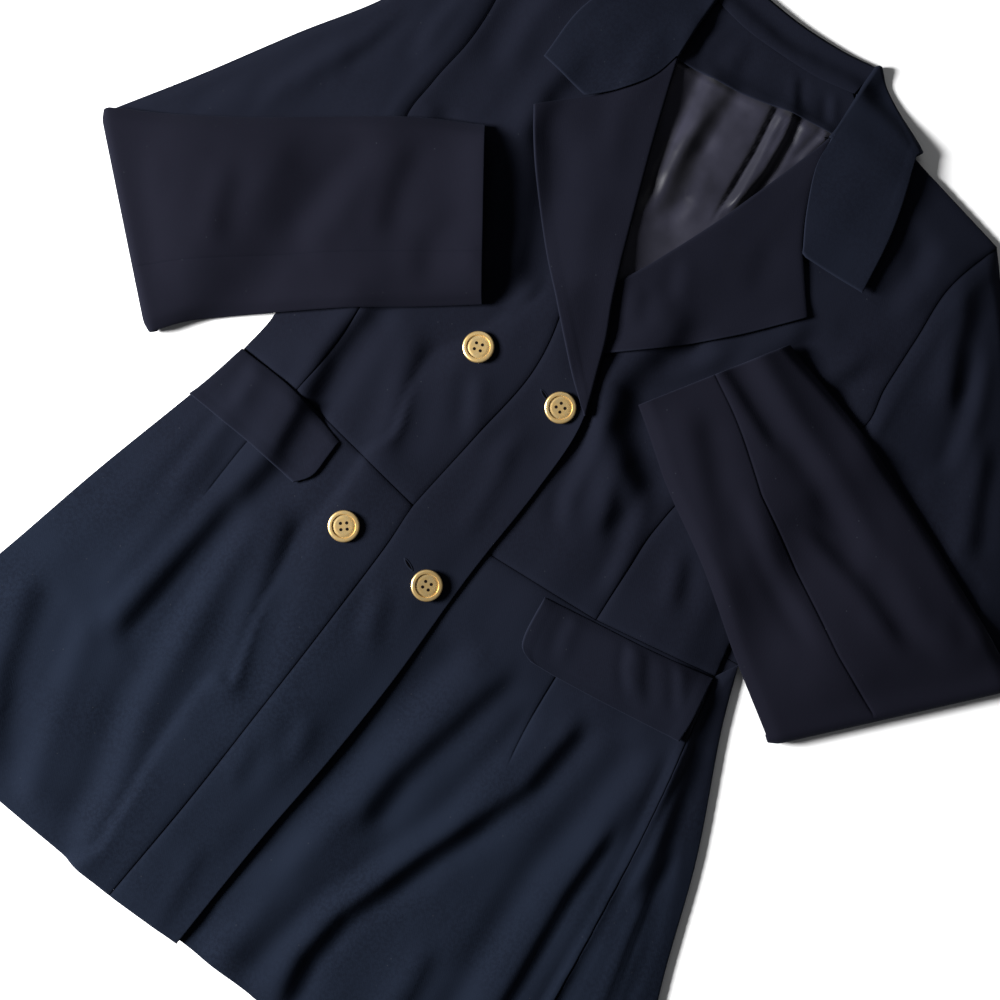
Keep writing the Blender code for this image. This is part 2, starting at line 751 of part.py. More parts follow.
def turned_solid(name, profile, sides, material):
    """A closed solid of revolution from a half section that starts and ends on the axis."""
    points, faces = [np.array((0, 0, profile[0][1]))], []
    for radius, height in profile[1:-1]:
        for k in range(sides):
            angle = 2 * math.pi * k / sides
            points.append(np.array((radius * math.cos(angle), radius * math.sin(angle), height)))
    points.append(np.array((0, 0, profile[-1][1])))
    last = len(points) - 1
    rings = len(profile) - 2
    for k in range(sides):
        following = (k + 1) % sides
        faces.append((0, 1 + following, 1 + k))
        faces.append((last, last - sides + k, last - sides + following))
        for ring in range(rings - 1):
            a, b = 1 + ring * sides, 1 + (ring + 1) * sides
            faces.append((a + k, a + following, b + following, b + k))
    return make_solid(name, points, faces, material)


def make_hole_cutter():
    """Four pegs in one mesh, which cut the sewing holes."""
    points, faces, sides = [], [], 8
    for quarter in range(4):
        angle = math.pi / 4 + quarter * math.pi / 2
        centre = np.array((math.cos(angle), math.sin(angle))) * HOLE_PITCH / math.sqrt(2)
        first = len(points)
        for height in (-BUTTON_THICK, 2 * BUTTON_THICK):
            for k in range(sides):
                turn = 2 * math.pi * k / sides
                spot = centre + HOLE_ACROSS / 2 * np.array((math.cos(turn), math.sin(turn)))
                points.append(np.array((*spot, height)))
        faces.append([first + k for k in range(sides)][::-1])
        faces.append([first + sides + k for k in range(sides)])
        for k in range(sides):
            n = (k + 1) % sides
            faces.append((first + k, first + n, first + sides + n, first + sides + k))
    cutter = make_solid("button_hole_cutter", points, faces, "gold")
    cutter.hide_render = True
    cutter.display_type = "WIRE"
    return cutter


def sew_buttons(pile):
    cutter = make_hole_cutter()
    for number, button in enumerate(BUTTONS, 1):
        x, y = button["place"]
        around = [(x + dx, y + dy) for dx in (-9, 0, 9) for dy in (-9, 0, 9)]
        height = max(pile.top(*spot) for spot in around) + LAYER
        obj = turned_solid(f"button_{number}", button_profile(), BUTTON_SIDES, "gold")
        obj.data.shade_smooth()
        obj.data.set_sharp_from_angle(angle=math.radians(35))
        holes = obj.modifiers.new("sewing holes", "BOOLEAN")
        holes.object = cutter
        holes.operation = "DIFFERENCE"
        cut_with_button_at_origin(obj)
        obj.location = (x * MM, y * MM, height * MM)


def cut_with_button_at_origin(obj):
    """Applies the hole cut while the button still lies over the cutter."""
    bpy.context.view_layer.update()
    graph = bpy.context.evaluated_depsgraph_get()
    cut = bpy.data.meshes.new_from_object(obj.evaluated_get(graph))
    obj.modifiers.clear()
    obj.data = cut


def build():
    clear_scene()
    make_materials()
    left_armhole = armhole(OVER_BODICE, OVER_SIDE)
    right_armhole = armhole(UNDER_BODICE, UNDER_SIDE)
    pile = Pile()
    lay_back(pile, left_armhole, right_armhole)
    lay_neck(pile)
    lay_under_front(pile)
    lay_flap("right_flap", RIGHT_FLAP, pile)
    lay_lapel("right_lapel", UNDER_LAPEL, pile, -1)
    lay_over_front(pile)
    lay_flap("left_flap", LEFT_FLAP, pile)
    lay_lapel("left_lapel", OVER_LAPEL, pile, 1)
    lay_collar(pile)
    lay_sleeve("left", left_armhole, LEFT_SLEEVE, LEFT_FOLD, LEFT_FOREARM, LEFT_SEAM_SHARES, pile)
    lay_sleeve("right", right_armhole, RIGHT_SLEEVE, RIGHT_FOLD, RIGHT_FOREARM, RIGHT_SEAM_SHARES, pile)
    sew_buttons(pile)


build()
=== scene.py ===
import json
import math

import bpy
import numpy as np
from mathutils import Matrix, Vector

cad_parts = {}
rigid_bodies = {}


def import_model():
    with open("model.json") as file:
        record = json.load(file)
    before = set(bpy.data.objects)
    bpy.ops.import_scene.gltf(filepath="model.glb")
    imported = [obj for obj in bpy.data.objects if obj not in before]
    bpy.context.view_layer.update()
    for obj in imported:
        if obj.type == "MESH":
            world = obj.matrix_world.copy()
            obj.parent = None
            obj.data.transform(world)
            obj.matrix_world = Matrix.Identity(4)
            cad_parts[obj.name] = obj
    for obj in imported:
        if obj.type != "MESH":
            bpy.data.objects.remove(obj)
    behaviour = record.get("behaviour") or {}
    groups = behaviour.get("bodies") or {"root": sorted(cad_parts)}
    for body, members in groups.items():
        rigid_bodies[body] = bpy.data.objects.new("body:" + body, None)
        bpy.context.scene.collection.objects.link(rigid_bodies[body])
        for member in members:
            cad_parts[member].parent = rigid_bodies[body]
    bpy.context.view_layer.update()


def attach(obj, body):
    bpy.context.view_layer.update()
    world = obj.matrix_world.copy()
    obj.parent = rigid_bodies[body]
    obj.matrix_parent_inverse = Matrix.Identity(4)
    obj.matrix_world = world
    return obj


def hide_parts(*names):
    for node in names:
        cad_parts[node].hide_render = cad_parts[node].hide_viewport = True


# A long double-breasted blazer laid flat, front up, with both forearms folded over the body.
# Sizes are in millimetres: +X to the viewer's right, +Y to the neck, floor at 0.
# Left and right are the viewer's.

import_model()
for loaded in bpy.data.objects:
    loaded.select_set(False)

mm = 0.001

cloth = {
    "wall": 1.8,
    "doubled": 2.1,  # lapels and collar
    "gap": 0.3,
    "loft": 5.0,  # how far the fronts stand off the back
    "loftReach": 34.0,
    "turnGain": 1.55,
    "edgeRise": 1.8,  # the fold at the outline comes up this much, steeply
    "edgeReach": 7.0,
    "seamDip": 0.75,
    "rounding": {"seam": 0.5, "edge": 0.95, "fold": 0.8, "soft": 0.4, "taper": 8.0, "hidden": 0.4},
    "allowance": 6.5,  # the turned-in cloth along a finished edge shows as a low step
    "allowanceRise": 0.3,
    "cell": 3.2,
}


def table(columns, *rows):
    names = columns.split()
    return [dict(zip(names, row)) for row in rows]


def column(rows, name):
    return [row[name] for row in rows]


def rowsOf(rows, columns):
    return [[row[name] for name in columns.split()] for row in rows]


def edges(kinds):
    # what the left, right, first and last edges of a panel are
    return dict(zip(("left", "right", "first", "last"), kinds.split()))


# ---- curves and grids

def smoothRows(rows, steps):
    # smooth curves through the rows, steps to each interval
    rows = np.array(rows, float)
    padded = np.concatenate([[2 * rows[0] - rows[1]], rows, [2 * rows[-1] - rows[-2]]])
    made = []
    for a, b, c, d in zip(padded, padded[1:], padded[2:], padded[3:]):
        for t in np.arange(steps) / steps:
            bend = (2 * a - 5 * b + 4 * c - d) * t**2 + (3 * b - a - 3 * c + d) * t**3
            made.append(0.5 * (2 * b + (c - a) * t + bend))
    return np.array([*made, rows[-1]])


def lengthsDown(rows):
    # how far each row, or each point, lies from the first
    steps = np.linalg.norm(np.diff(rows, axis=0), axis=-1)
    return np.concatenate([[0], np.cumsum(steps.reshape(len(steps), -1).mean(axis=1))])


def evenLine(points, count=49):
    # count points spaced evenly along a smooth line
    points = np.array(points, float)
    if len(points) > 2:
        points = smoothRows(points, 8)
    along = lengthsDown(points)
    at = np.linspace(0, along[-1], count)
    return np.stack([np.interp(at, along, points[:, k]) for k in range(2)], axis=1)


def spaced(length, cell, fineStart=True, fineEnd=True):
    # places from 0 to length, close together at the ends where the edge is rounded
    fine = np.array([0, 0.12, 0.4, 0.9, 1.7]) * min(1, length / 12)
    start = fine if fineStart else fine[:1]
    end = length - (fine if fineEnd else fine[:1])[::-1]
    count = max(2, math.ceil((end[0] - start[-1]) / cell))
    inner = np.linspace(start[-1], end[0], count + 1)
    return np.concatenate([start[:-1], inner, end[1:]])


def pick(dense, rowAt, columnAt):
    # the dense grid read between its points
    r = np.clip(np.floor(rowAt).astype(int), 0, dense.shape[0] - 2)
    c = np.clip(np.floor(columnAt).astype(int), 0, dense.shape[1] - 2)
    fr = (rowAt - r)[:, None, None]
    fc = (columnAt - c)[None, :, None]
    near = dense[r][:, c] * (1 - fc) + dense[r][:, c + 1] * fc
    far = dense[r + 1][:, c] * (1 - fc) + dense[r + 1][:, c + 1] * fc
    return near * (1 - fr) + far * fr


def rowWidths(rows):
    # how far each point lies from the first one of its row
    widths = np.cumsum(np.linalg.norm(np.diff(rows, axis=1), axis=-1), axis=1)
    return np.concatenate([np.zeros((len(rows), 1)), widths], axis=1)


def bordersOf(left, along):
    # how far each point lies from the four edges
    return {
        "left": left,
        "right": left[:, -1:] - left,
        "first": np.broadcast_to(along[:, None], left.shape),
        "last": np.broadcast_to((along[-1] - along)[:, None], left.shape),
    }


def withZ(flat, height):
    return np.concatenate([flat, height[..., None]], axis=-1)


def panel(rows, cell=None, steer=0, joined=False, fineRows=(True, True)):
    # A flat grid between rows of points. The first steer rows only steer the curves. With joined,
    # each pair of neighbouring points is a stretch of its own, and the columns crowd at the joints.
    cell = cell or cloth["cell"]
    stretches = [rows]
    if joined:
        stretches = [[row[k : k + 2] for row in rows] for k in range(len(rows[0]) - 1)]
    spans = [smoothRows([evenLine(row) for row in part], 12)[steer * 12 :] for part in stretches]
    lengths = lengthsDown(spans[0])
    along = spaced(lengths[-1], cell, *fineRows)
    rowAt = np.interp(along, lengths, np.arange(len(lengths)))
    parts, places, joints, start = [], [], [], 0.0
    for span in spans:
        width = np.linalg.norm(np.diff(span, axis=1), axis=-1).sum(axis=1)
        share = spaced(width.mean(), cell) / width.mean()
        grid = pick(span, rowAt, share * (span.shape[1] - 1))
        place = share[None, :] * np.interp(rowAt, np.arange(len(width)), width)[:, None]
        kept = grid.shape[1] - (0 if span is spans[-1] else 1)
        parts.append(grid[:, :kept])
        places.append(start + place[:, :kept])
        start = start + place[:, -1:]
        joints.append(sum(part.shape[1] for part in parts))
    return np.concatenate(parts, axis=1), bordersOf(np.concatenate(places, axis=1), along), joints[:-1]


def rounded(distance, radius):
    # rises from 0 to 1 as a quarter round
    return np.sqrt(np.maximum(0, 1 - (1 - np.clip(distance / radius, 0, 1)) ** 2))


def smoothStep(t):
    t = np.clip(t, 0, 1)
    return t * t * (3 - 2 * t)


def softMax(a, b, blend=1.0):
    return 0.5 * (a + b + np.sqrt((a - b) ** 2 + blend**2))


# ---- the height map of what has been laid so far

mapCell = 2.0
mapLow = np.array([-440.0, -430.0])
mapSide = 470
mapLine = mapCell * np.arange(mapSide)
mapPoints = np.stack(np.meshgrid(mapLow[0] + mapLine, mapLow[1] + mapLine), axis=-1)


def sample(field, flat):
    at = (flat[..., :2] - mapLow) / mapCell
    low = np.clip(np.floor(at).astype(int), 0, mapSide - 2)
    f = np.clip(at - low, 0, 1)
    x, y, fx, fy = low[..., 0], low[..., 1], f[..., 0], f[..., 1]
    near = field[y, x] * (1 - fx) + field[y, x + 1] * fx
    far = field[y + 1, x] * (1 - fx) + field[y + 1, x + 1] * fx
    return near * (1 - fy) + far * fy


def layOn(pile, top):
    # raises the map to the top side of a sheet
    for a in (0, 1 / 3, 2 / 3):
        rows = top[:-1] * (1 - a) + top[1:] * a
        for b in (0, 1 / 3, 2 / 3):
            spot = (rows[:, :-1] * (1 - b) + rows[:, 1:] * b).reshape(-1, 3)
            at = np.clip(np.rint((spot[:, :2] - mapLow) / mapCell).astype(int), 0, mapSide - 1)
            np.maximum.at(pile, (at[:, 1], at[:, 0]), spot[:, 2])


def widened(field, reach):
    out = field.copy()
    for _ in range(max(1, round(reach / mapCell))):
        grown = out.copy()
        grown[1:] = np.maximum(grown[1:], out[:-1])
        grown[:-1] = np.maximum(grown[:-1], out[1:])
        out = grown.copy()
        out[:, 1:] = np.maximum(out[:, 1:], grown[:, :-1])
        out[:, :-1] = np.maximum(out[:, :-1], grown[:, 1:])
    return out


def neighbourMean(field):
    wide = np.pad(field, 1, mode="edge")
    return (wide[:-2, 1:-1] + wide[2:, 1:-1] + wide[1:-1, :-2] + wide[1:-1, 2:]) / 4


def drape(pile, reach=3.0, rounds=40, soften=3):
    # the surface that stiff cloth takes over the pile: it bridges hollows
    floor = widened(pile, reach)
    out = floor.copy()
    for _ in range(rounds):
        out = np.maximum(floor, neighbourMean(out))
    for _ in range(soften):
        out = neighbourMean(out)
    return out


lightSide = np.array([-0.89, -0.455])  # level direction that the light comes from


def distanceTo(points, path):
    # Distance to a path, place along it, on which side of it a point lies (1 towards the light),
    # and the path's length.
    path = np.array(path, float)
    best = np.full(points.shape[:-1], 1e9)
    along = np.zeros(points.shape[:-1])
    side = np.zeros(points.shape[:-1])
    steps = np.linalg.norm(np.diff(path, axis=0), axis=1)
    starts = np.concatenate([[0], np.cumsum(steps)[:-1]])
    for a, b, start, length in zip(path, path[1:], starts, steps):
        if length == 0:
            continue
        line = (b - a) / length
        offset = points - a
        t = np.clip(offset @ line, 0, length)
        gap = offset - t[..., None] * line
        away = np.linalg.norm(gap, axis=-1)
        nearer = away < best
        best = np.where(nearer, away, best)
        along = np.where(nearer, start + t, along)
        side = np.where(nearer, np.sign(gap @ lightSide), side)
    return best, along, side, steps.sum()


def waves(points, size, seed):
    # smooth uneven swells of about one unit, from a seeded lattice
    rng = np.random.default_rng(seed)
    lattice = rng.normal(size=(64, 64))
    at = (points - mapLow) / size
    low = np.floor(at).astype(int)
    f = at - low
    f = f * f * (3 - 2 * f)
    x, y = low[..., 0] % 63, low[..., 1] % 63
    fx, fy = f[..., 0], f[..., 1]
    near = lattice[y, x] * (1 - fx) + lattice[y, x + 1] * fx
    far = lattice[y + 1, x] * (1 - fx) + lattice[y + 1, x + 1] * fx
    return near * (1 - fy) + far * fy


def fading(along, length, ends):
    fade = np.ones_like(along)
    reach = min(26.0, 0.4 * length)
    if "s" in ends:
        fade = fade * smoothStep(along / reach)
    if "e" in ends:
        fade = fade * smoothStep((length - along) / reach)
    return fade


def turned(points, turns):
    # each line is a flank of a soft fold, with its crest on one side and its trough on the other
    height = np.zeros(points.shape[:-1])
    for turn in turns:
        away, along, side, length = distanceTo(points, turn["path"])
        bend = side * away * np.exp(-((away / turn["width"]) ** 2))
        height += turn["slope"] * fading(along, length, turn["fade"]) * bend
    return height


# ---- meshes

def squares(grid):
    corners = (grid[:-1, :-1], grid[:-1, 1:], grid[1:, 1:], grid[1:, :-1])
    return np.stack(corners, axis=-1).reshape(-1, 4)


def volumeOf(points, faces):
    a, b, c, d = (points[faces[:, k]] for k in range(4))
    return (np.cross(a, b) * c).sum() + (np.cross(a, c) * d).sum()


def closedSheet(mid, normals, half):
    # points, faces and grid place of each point, for a wall whose two sides meet round the border
    rows, columns = half.shape
    top = np.arange(rows * columns).reshape(rows, columns)
    under = top.copy()
    inner = (rows - 2) * (columns - 2)
    under[1:-1, 1:-1] = rows * columns + np.arange(inner).reshape(rows - 2, columns - 2)
    upper = mid + normals * half[..., None]
    lower = (mid - normals * half[..., None])[1:-1, 1:-1]
    points = np.concatenate([upper.reshape(-1, 3), lower.reshape(-1, 3)])
    place = np.concatenate([top.ravel(), top[1:-1, 1:-1].ravel()])
    faces = np.concatenate([squares(top), squares(under)[:, ::-1]])
    return points, faces if volumeOf(points, faces) > 0 else faces[:, ::-1], place


def facing(grid):
    normal = np.cross(np.gradient(grid, axis=0), np.gradient(grid, axis=1))
    return normal / np.maximum(np.linalg.norm(normal, axis=-1, keepdims=True), 1e-9)


def makeObject(name, sheet, flat, marks, look):
    points, faces, place = sheet
    mesh = bpy.data.meshes.new(name)
    mesh.from_pydata((points * mm).tolist(), [], faces.tolist())
    mesh.materials.append(look)
    mesh.shade_smooth()
    corner = np.empty(len(mesh.loops), np.int32)
    mesh.loops.foreach_get("vertex_index", corner)
    cut = mesh.uv_layers.new(name="cut")
    cut.data.foreach_set("uv", (flat.reshape(-1, 2)[place][corner] * mm).astype(np.float32).ravel())
    for mark, values in marks.items():
        layer = mesh.attributes.new(mark, "FLOAT", "POINT")
        layer.data.foreach_set("value", values.reshape(-1)[place].astype(np.float32))
    obj = bpy.data.objects.new(name, mesh)
    bpy.context.scene.collection.objects.link(obj)
    return obj


def nodeOf(name):
    return "".join(f"_{letter.lower()}" if letter.isupper() else letter for letter in name)


def cutOf(flat):
    # the box of a flat grid, and its own area
    a, b, c, d = flat[:-1, :-1], flat[:-1, 1:], flat[1:, 1:], flat[1:, :-1]
    p, q = c - a, d - b
    area = np.abs(p[..., 0] * q[..., 1] - p[..., 1] * q[..., 0]).sum() / 2
    low, high = flat.reshape(-1, 2).min(axis=0), flat.reshape(-1, 2).max(axis=0)
    return (*(high - low) * mm, area * mm * mm)


def declare(obj, nodes, cut):
    width, length, area = cut
    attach(obj, "root")
    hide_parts(*nodes)
    area = min(area, width * length)
    print(f"  {obj.name}: cut {width * 1000:.0f} x {length * 1000:.0f} mm, {area * 1e4:.0f} cm2")


def wallAt(borders, kinds, wall):
    # half thickness, rounded off at every border by the kind of edge it is
    shares = [rounded(borders[side], cloth["rounding"][kind]) for side, kind in kinds.items()]
    return wall / 2 * np.minimum.reduce(shares)


def finish(height, borders, kinds):
    # seams dip, and finished edges show the cloth turned in behind them
    for side, kind in kinds.items():
        away = borders[side]
        if kind == "seam":
            height = height - cloth["seamDip"] * np.exp(-((away / 1.4) ** 2))
            height = height - 0.3 * np.exp(-((away / 5) ** 2))
        if kind == "soft":
            height = height - 0.3 * np.exp(-((away / 1.2) ** 2))
        if kind == "edge":
            step = 1 - smoothStep((away - cloth["allowance"]) / 2.5)
            height = height + cloth["allowanceRise"] * step
    return height


def marksOf(borders, kinds, seamShadeWidth, tone):
    # how near each point is to a seam and to a finished edge, for painted shade along the seams and a
    # painted highlight along the edges; and the painted light tint
    marks = {"tone": tone}
    for mark, wanted, width in (("seam", "seam", seamShadeWidth), ("worn", "edge", 1.6)):
        near = [np.exp(-((borders[side] / width) ** 2)) for side, kind in kinds.items() if kind == wanted]
        marks[mark] = np.maximum.reduce([np.zeros_like(borders["left"]), *near])
    return marks


def lightTintAt(flat):
    # painted light tint: the skirt is tinted bluer, as under cooler light, and the bodice warmer
    return 0.12 + 0.55 * smoothStep((flat[..., 1] + 200) / 260)


def laidPanel(
    name, field, rows, kinds,
    cell=None, steer=0, darts=(), wall=None, curve=None, tone=0, slot="navy",
):
    # one flat-laid panel: its height comes from the field, its edges from kinds
    flat, borders, joints = panel(rows, cell, steer, bool(darts))
    height = finish(sample(field, flat), borders, kinds)
    for joint, (low, high) in zip(joints, darts):
        away = np.abs(borders["left"] - borders["left"][:, joint : joint + 1])
        y = flat[:, joint : joint + 1, 1]
        inside = smoothStep((y - low) / 12) * smoothStep((high - y) / 4)
        height = height - inside * (0.9 * np.exp(-((away / 0.8) ** 2)) + 0.35 * np.exp(-((away / 5) ** 2)))
    if curve:
        height = height + curve(flat, borders)
    wall = wall or cloth["wall"]
    half = wallAt(borders, kinds, wall)
    if kinds["first"] == "taper":
        height = height - (wall / 2 - half)
    mid = withZ(flat, np.maximum(height, half))  # nothing under the floor
    sheet = closedSheet(mid, np.broadcast_to((0.0, 0.0, 1.0), mid.shape), half)
    obj = makeObject(name, sheet, flat, marksOf(borders, kinds, 1.2, lightTintAt(flat) + tone), looks[slot])
    declare(obj, [nodeOf(name)], cutOf(flat))
    layOn(pile, withZ(flat, mid[..., 2] + half))


# ---- materials

def newMaterial(name, values):
    material = bpy.data.materials.new(name)
    material.use_nodes = True
    tree = material.node_tree
    shader = tree.nodes["Principled BSDF"]
    for key, value in values.items():
        shader.inputs[key].default_value = value
    return material, tree, shader


def node(tree, kind, **values):
    made = tree.nodes.new(kind)
    for key, value in values.items():
        if key in made.inputs:
            made.inputs[key].default_value = value
        else:
            setattr(made, key, value)
    return made


def mixColour(tree, factor, first, second):
    made = tree.nodes.new("ShaderNodeMix")
    made.data_type = "RGBA"
    for socket, value in ((made.inputs[0], factor), (made.inputs[6], first), (made.inputs[7], second)):
        if isinstance(value, bpy.types.NodeSocket):
            tree.links.new(value, socket)
        else:
            socket.default_value = value
    return made.outputs[2]


def ramp(tree, source, low, high):
    made = tree.nodes.new("ShaderNodeMapRange")
    made.interpolation_type = "SMOOTHSTEP"
    made.inputs["From Min"].default_value = low
    made.inputs["From Max"].default_value = high
    tree.links.new(source, made.inputs["Value"])
    return made.outputs["Result"]


def pattern(tree, kind, **values):
    # a texture on the object's own coordinates, or a weave along its cut
    made = node(tree, f"ShaderNodeTex{kind}", **values)
    where = node(tree, "ShaderNodeTexCoord")
    tree.links.new(where.outputs["UV" if kind == "Wave" else "Object"], made.inputs["Vector"])
    return made.outputs["Distance" if kind == "Voronoi" else "Fac"]


def bumped(tree, shader, height, strength, distance):
    bump = node(tree, "ShaderNodeBump", Strength=strength, Distance=distance)
    tree.links.new(height, bump.inputs["Height"])
    tree.links.new(bump.outputs["Normal"], shader.inputs["Normal"])


def woven(tree, weave, share, nap):
    made = node(tree, "ShaderNodeMath", operation="MULTIPLY_ADD")
    tree.links.new(weave, made.inputs[0])
    made.inputs[1].default_value = share
    tree.links.new(nap, made.inputs[2])
    return made.outputs[0]


navyLook = {
    "dark": (0.0040, 0.0060, 0.0116, 1),
    "light": (0.0058, 0.0088, 0.0166, 1),
    "plum": (0.0052, 0.0051, 0.0092, 1),  # painted light: a warmer, dimmer colour for the light on the raised forearms and lapels
    # painted shade: the colour seams are darkened to, for the shade in their grooves
    "seam": (0.003, 0.0035, 0.007, 1),
    # painted highlight: the colour finished edges are lightened to, for light catching their rounded fold
    "worn": (0.022, 0.026, 0.044, 1),
    "lint": (0.016, 0.018, 0.024, 1),
    "twillPitch": 0.0011,
    "napSize": 700.0,
    "shader": {
        "Roughness": 0.9,
        "Specular IOR Level": 0.04,
        "Sheen Weight": 0.03,
        "Sheen Roughness": 0.45,
        "Sheen Tint": (0.42, 0.52, 0.85, 1),
    },
}


def makeNavy():
    look = navyLook
    material, tree, shader = newMaterial("navyWool", look["shader"])

    def layered(below, factor, low, high, colour):
        return mixColour(tree, ramp(tree, factor, low, high), below, colour)

    def mark(name):
        return node(tree, "ShaderNodeAttribute", attribute_name=name).outputs["Fac"]

    clouds = pattern(tree, "Noise", Scale=14.0, Detail=3.0, Roughness=0.55)
    mottle = pattern(tree, "Noise", Scale=420.0, Detail=2.0, Roughness=0.6)
    colour = layered(look["dark"], clouds, 0.3, 0.7, look["light"])
    colour = layered(colour, mottle, 0.35, 0.65, look["light"])
    # painted light: the tint of the light, mixed in per piece and up the garment
    colour = mixColour(tree, mark("tone"), colour, look["plum"])
    # painted shade along the seams
    colour = layered(colour, mark("seam"), 0.2, 1.6, look["seam"])
    # painted highlight along the finished edges
    colour = layered(colour, mark("worn"), 0.2, 3.2, look["worn"])
    colour = layered(colour, pattern(tree, "Voronoi", Scale=85.0), 0.05, 0.02, look["lint"])
    tree.links.new(colour, shader.inputs["Base Color"])

    pitch = math.tau / 20 / look["twillPitch"]
    twill = pattern(tree, "Wave", Scale=pitch, Distortion=0.6, Detail=1.0, bands_direction="DIAGONAL")
    nap = pattern(tree, "Noise", Scale=look["napSize"], Detail=3.0, Roughness=0.7)
    bumped(tree, shader, woven(tree, twill, 0.12, nap), 0.35, 0.0003)
    return material


liningLook = {
    "dark": (0.0095, 0.0095, 0.0165, 1),
    "light": (0.0190, 0.0188, 0.0305, 1),
    "threadPitch": 0.0005,
    "shader": {
        "Roughness": 0.44,
        "Specular IOR Level": 0.16,
        "Anisotropic": 0.4,
        "Sheen Weight": 0.15,
    },
}


def makeLining():
    look = liningLook
    material, tree, shader = newMaterial("satinLining", look["shader"])
    clouds = ramp(tree, pattern(tree, "Noise", Scale=30.0, Detail=3.0), 0.35, 0.7)
    tree.links.new(mixColour(tree, clouds, look["dark"], look["light"]), shader.inputs["Base Color"])
    threads = pattern(tree, "Wave", Scale=math.tau / 20 / look["threadPitch"], Distortion=1.0)
    wrinkle = pattern(tree, "Noise", Scale=60.0, Detail=4.0, Roughness=0.6)
    bumped(tree, shader, woven(tree, threads, 0.06, wrinkle), 0.3, 0.0006)
    return material


goldLook = {
    "bright": (0.93, 0.69, 0.34, 1),
    "deep": (0.74, 0.50, 0.20, 1),
    "roughness": (0.42, 0.26),
    "shader": {"Metallic": 0.85},
}


def makeGold():
    look = goldLook
    material, tree, shader = newMaterial("goldMetal", look["shader"])
    tarnish = pattern(tree, "Noise", Scale=260.0, Detail=4.0, Roughness=0.6)
    colour = mixColour(tree, ramp(tree, tarnish, 0.35, 0.7), look["deep"], look["bright"])
    tree.links.new(colour, shader.inputs["Base Color"])
    rough, polished = look["roughness"]
    spread = node(tree, "ShaderNodeMapRange", **{"To Min": rough, "To Max": polished})
    tree.links.new(ramp(tree, tarnish, 0.2, 0.8), spread.inputs["Value"])
    tree.links.new(spread.outputs["Result"], shader.inputs["Roughness"])
    bumped(tree, shader, tarnish, 0.15, 0.0002)
    return material


looks = {"navy": makeNavy(), "lining": makeLining(), "gold": makeGold()}
print("materials made")

# ---- the garment's outline and its creases

leftFront = {
    # armhole or side dart, band seam, roll line or front edge
    "bodice": table(
        "outer band edge",
        ((-200, 368), (-84, 397), (-58, 404)),
        ((-189, 325), (-84, 380), (-61, 388)),
        ((-187, 284), (-82, 345), (-60, 356)),
        ((-192, 245), (-74, 296), (-46, 308)),
        ((-192, 207), (-60, 248), (-32, 266)),
        ((-163, 160), (-44, 200), (-13, 212)),
        ((-149, 112), (-26, 158), (8, 162)),
        ((-145, 72), (-20, 112), (28, 106)),
        ((-146, 42), (-28, 54), (29, 50)),
        ((-150, 12), (-37, -9), (24, -12)),
    ),
    "side": table(
        "inner outer",
        ((-192, 245), (-216, 205)),
        ((-192, 207), (-214, 163)),
        ((-163, 160), (-207, 130)),
        ((-149, 112), (-199, 97)),
        ((-145, 72), (-193, 64)),
        ((-146, 42), (-194, 40)),
        ((-150, 12), (-198, 16)),
    ),
    "skirt": table(
        "side dart band edge",
        ((-198, 16), (-150, 12), (-37, -9), (24, -12)),
        ((-211, -31), (-159, -40), (-37, -45), (22, -50)),
        ((-236, -113), (-165, -112), (-41, -118), (20, -118)),
        ((-259, -197), (-176, -196), (-46, -190), (14, -190)),
        ((-283, -275), (-192, -272), (-52, -270), (5, -266)),
        ((-292, -322), (-205, -340), (-61, -355), (-3, -357)),
    ),
    "darts": [(-88, -30)],  # lower and upper end
}
rightFront = {
    "bodice": table(
        "edge outer",
        ((59, 404), (202, 371)),
        ((65, 388), (189, 327)),
        ((64, 364), (190, 284)),
        ((55, 337), (191, 245)),
        ((40, 294), (192, 207)),
        ((15, 237), (152, 160)),
        ((-17, 182), (121, 112)),
        ((-55, 120), (113, 72)),
        ((-76, 58), (113, 36)),
        ((-78, -12), (114, -4)),
    ),
    "side": table(
        "inner outer",
        ((191, 245), (217, 205)),
        ((192, 207), (215, 163)),
        ((152, 160), (208, 130)),
        ((121, 112), (200, 97)),
        ((113, 72), (197, 64)),
        ((113, 36), (201, 38)),
        ((114, -4), (206, 10)),
    ),
    "skirt": table(
        "edge dart seam outer",
        ((-78, -12), (114, -4), (206, 10), (215, 26)),
        ((-78, -48), (113, -51), (212, -28), (232, -22)),
        ((-79, -116), (119, -120), (226, -114), (267, -104)),
        ((-81, -190), (138, -196), (234, -185), (295, -188)),
        ((-84, -270), (152, -276), (241, -262), (326, -268)),
        ((-87, -349), (160, -365), (250, -366), (352, -350)),
    ),
    "darts": [(-124, -20)],
}
leftSleeve = {
    "upper": table(
        "inner outer",
        ((-227, 153), (-229, 327)),
        ((-224, 118), (-256, 273)),
        ((-233, 78), (-291, 222)),
        ((-245, 34), (-331, 160)),
    ),
    "fold": ((-261, -14), (-375, 98)),
    "forearm": table(
        "inner outer",
        ((-236, 14), (-325, 127)),
        ((-193, 49), (-281, 154)),
        ((-151, 81), (-236, 185)),
        ((-112, 108), (-182, 220)),
        ((-76, 134), (-144, 239)),
    ),
    "seamShares": (0.29, 0.29, 0.29, 0.29, 0.29, 0.29),  # where the front seam crosses each row
    "seamDip": 0.3,
    "turns": table(
        "path width slope fade",
        (((-196, 200), (-202, 160), (-205, 118), (-210, 88)), 15, -0.22, "se"),
        (((-180, 212), (-172, 168), (-158, 124)), 12, 0.2, "se"),
        (((-300, 42), (-280, 18), (-258, -4)), 9, -0.4, "se"),
        (((-276, 130), (-262, 90), (-250, 60)), 12, 0.18, "se"),
        (((-128, 190), (-132, 150), (-120, 110)), 12, 0.12, "se"),
        (((-330, 110), (-312, 84), (-296, 60)), 9, 0.14, "se"),
    ),
}
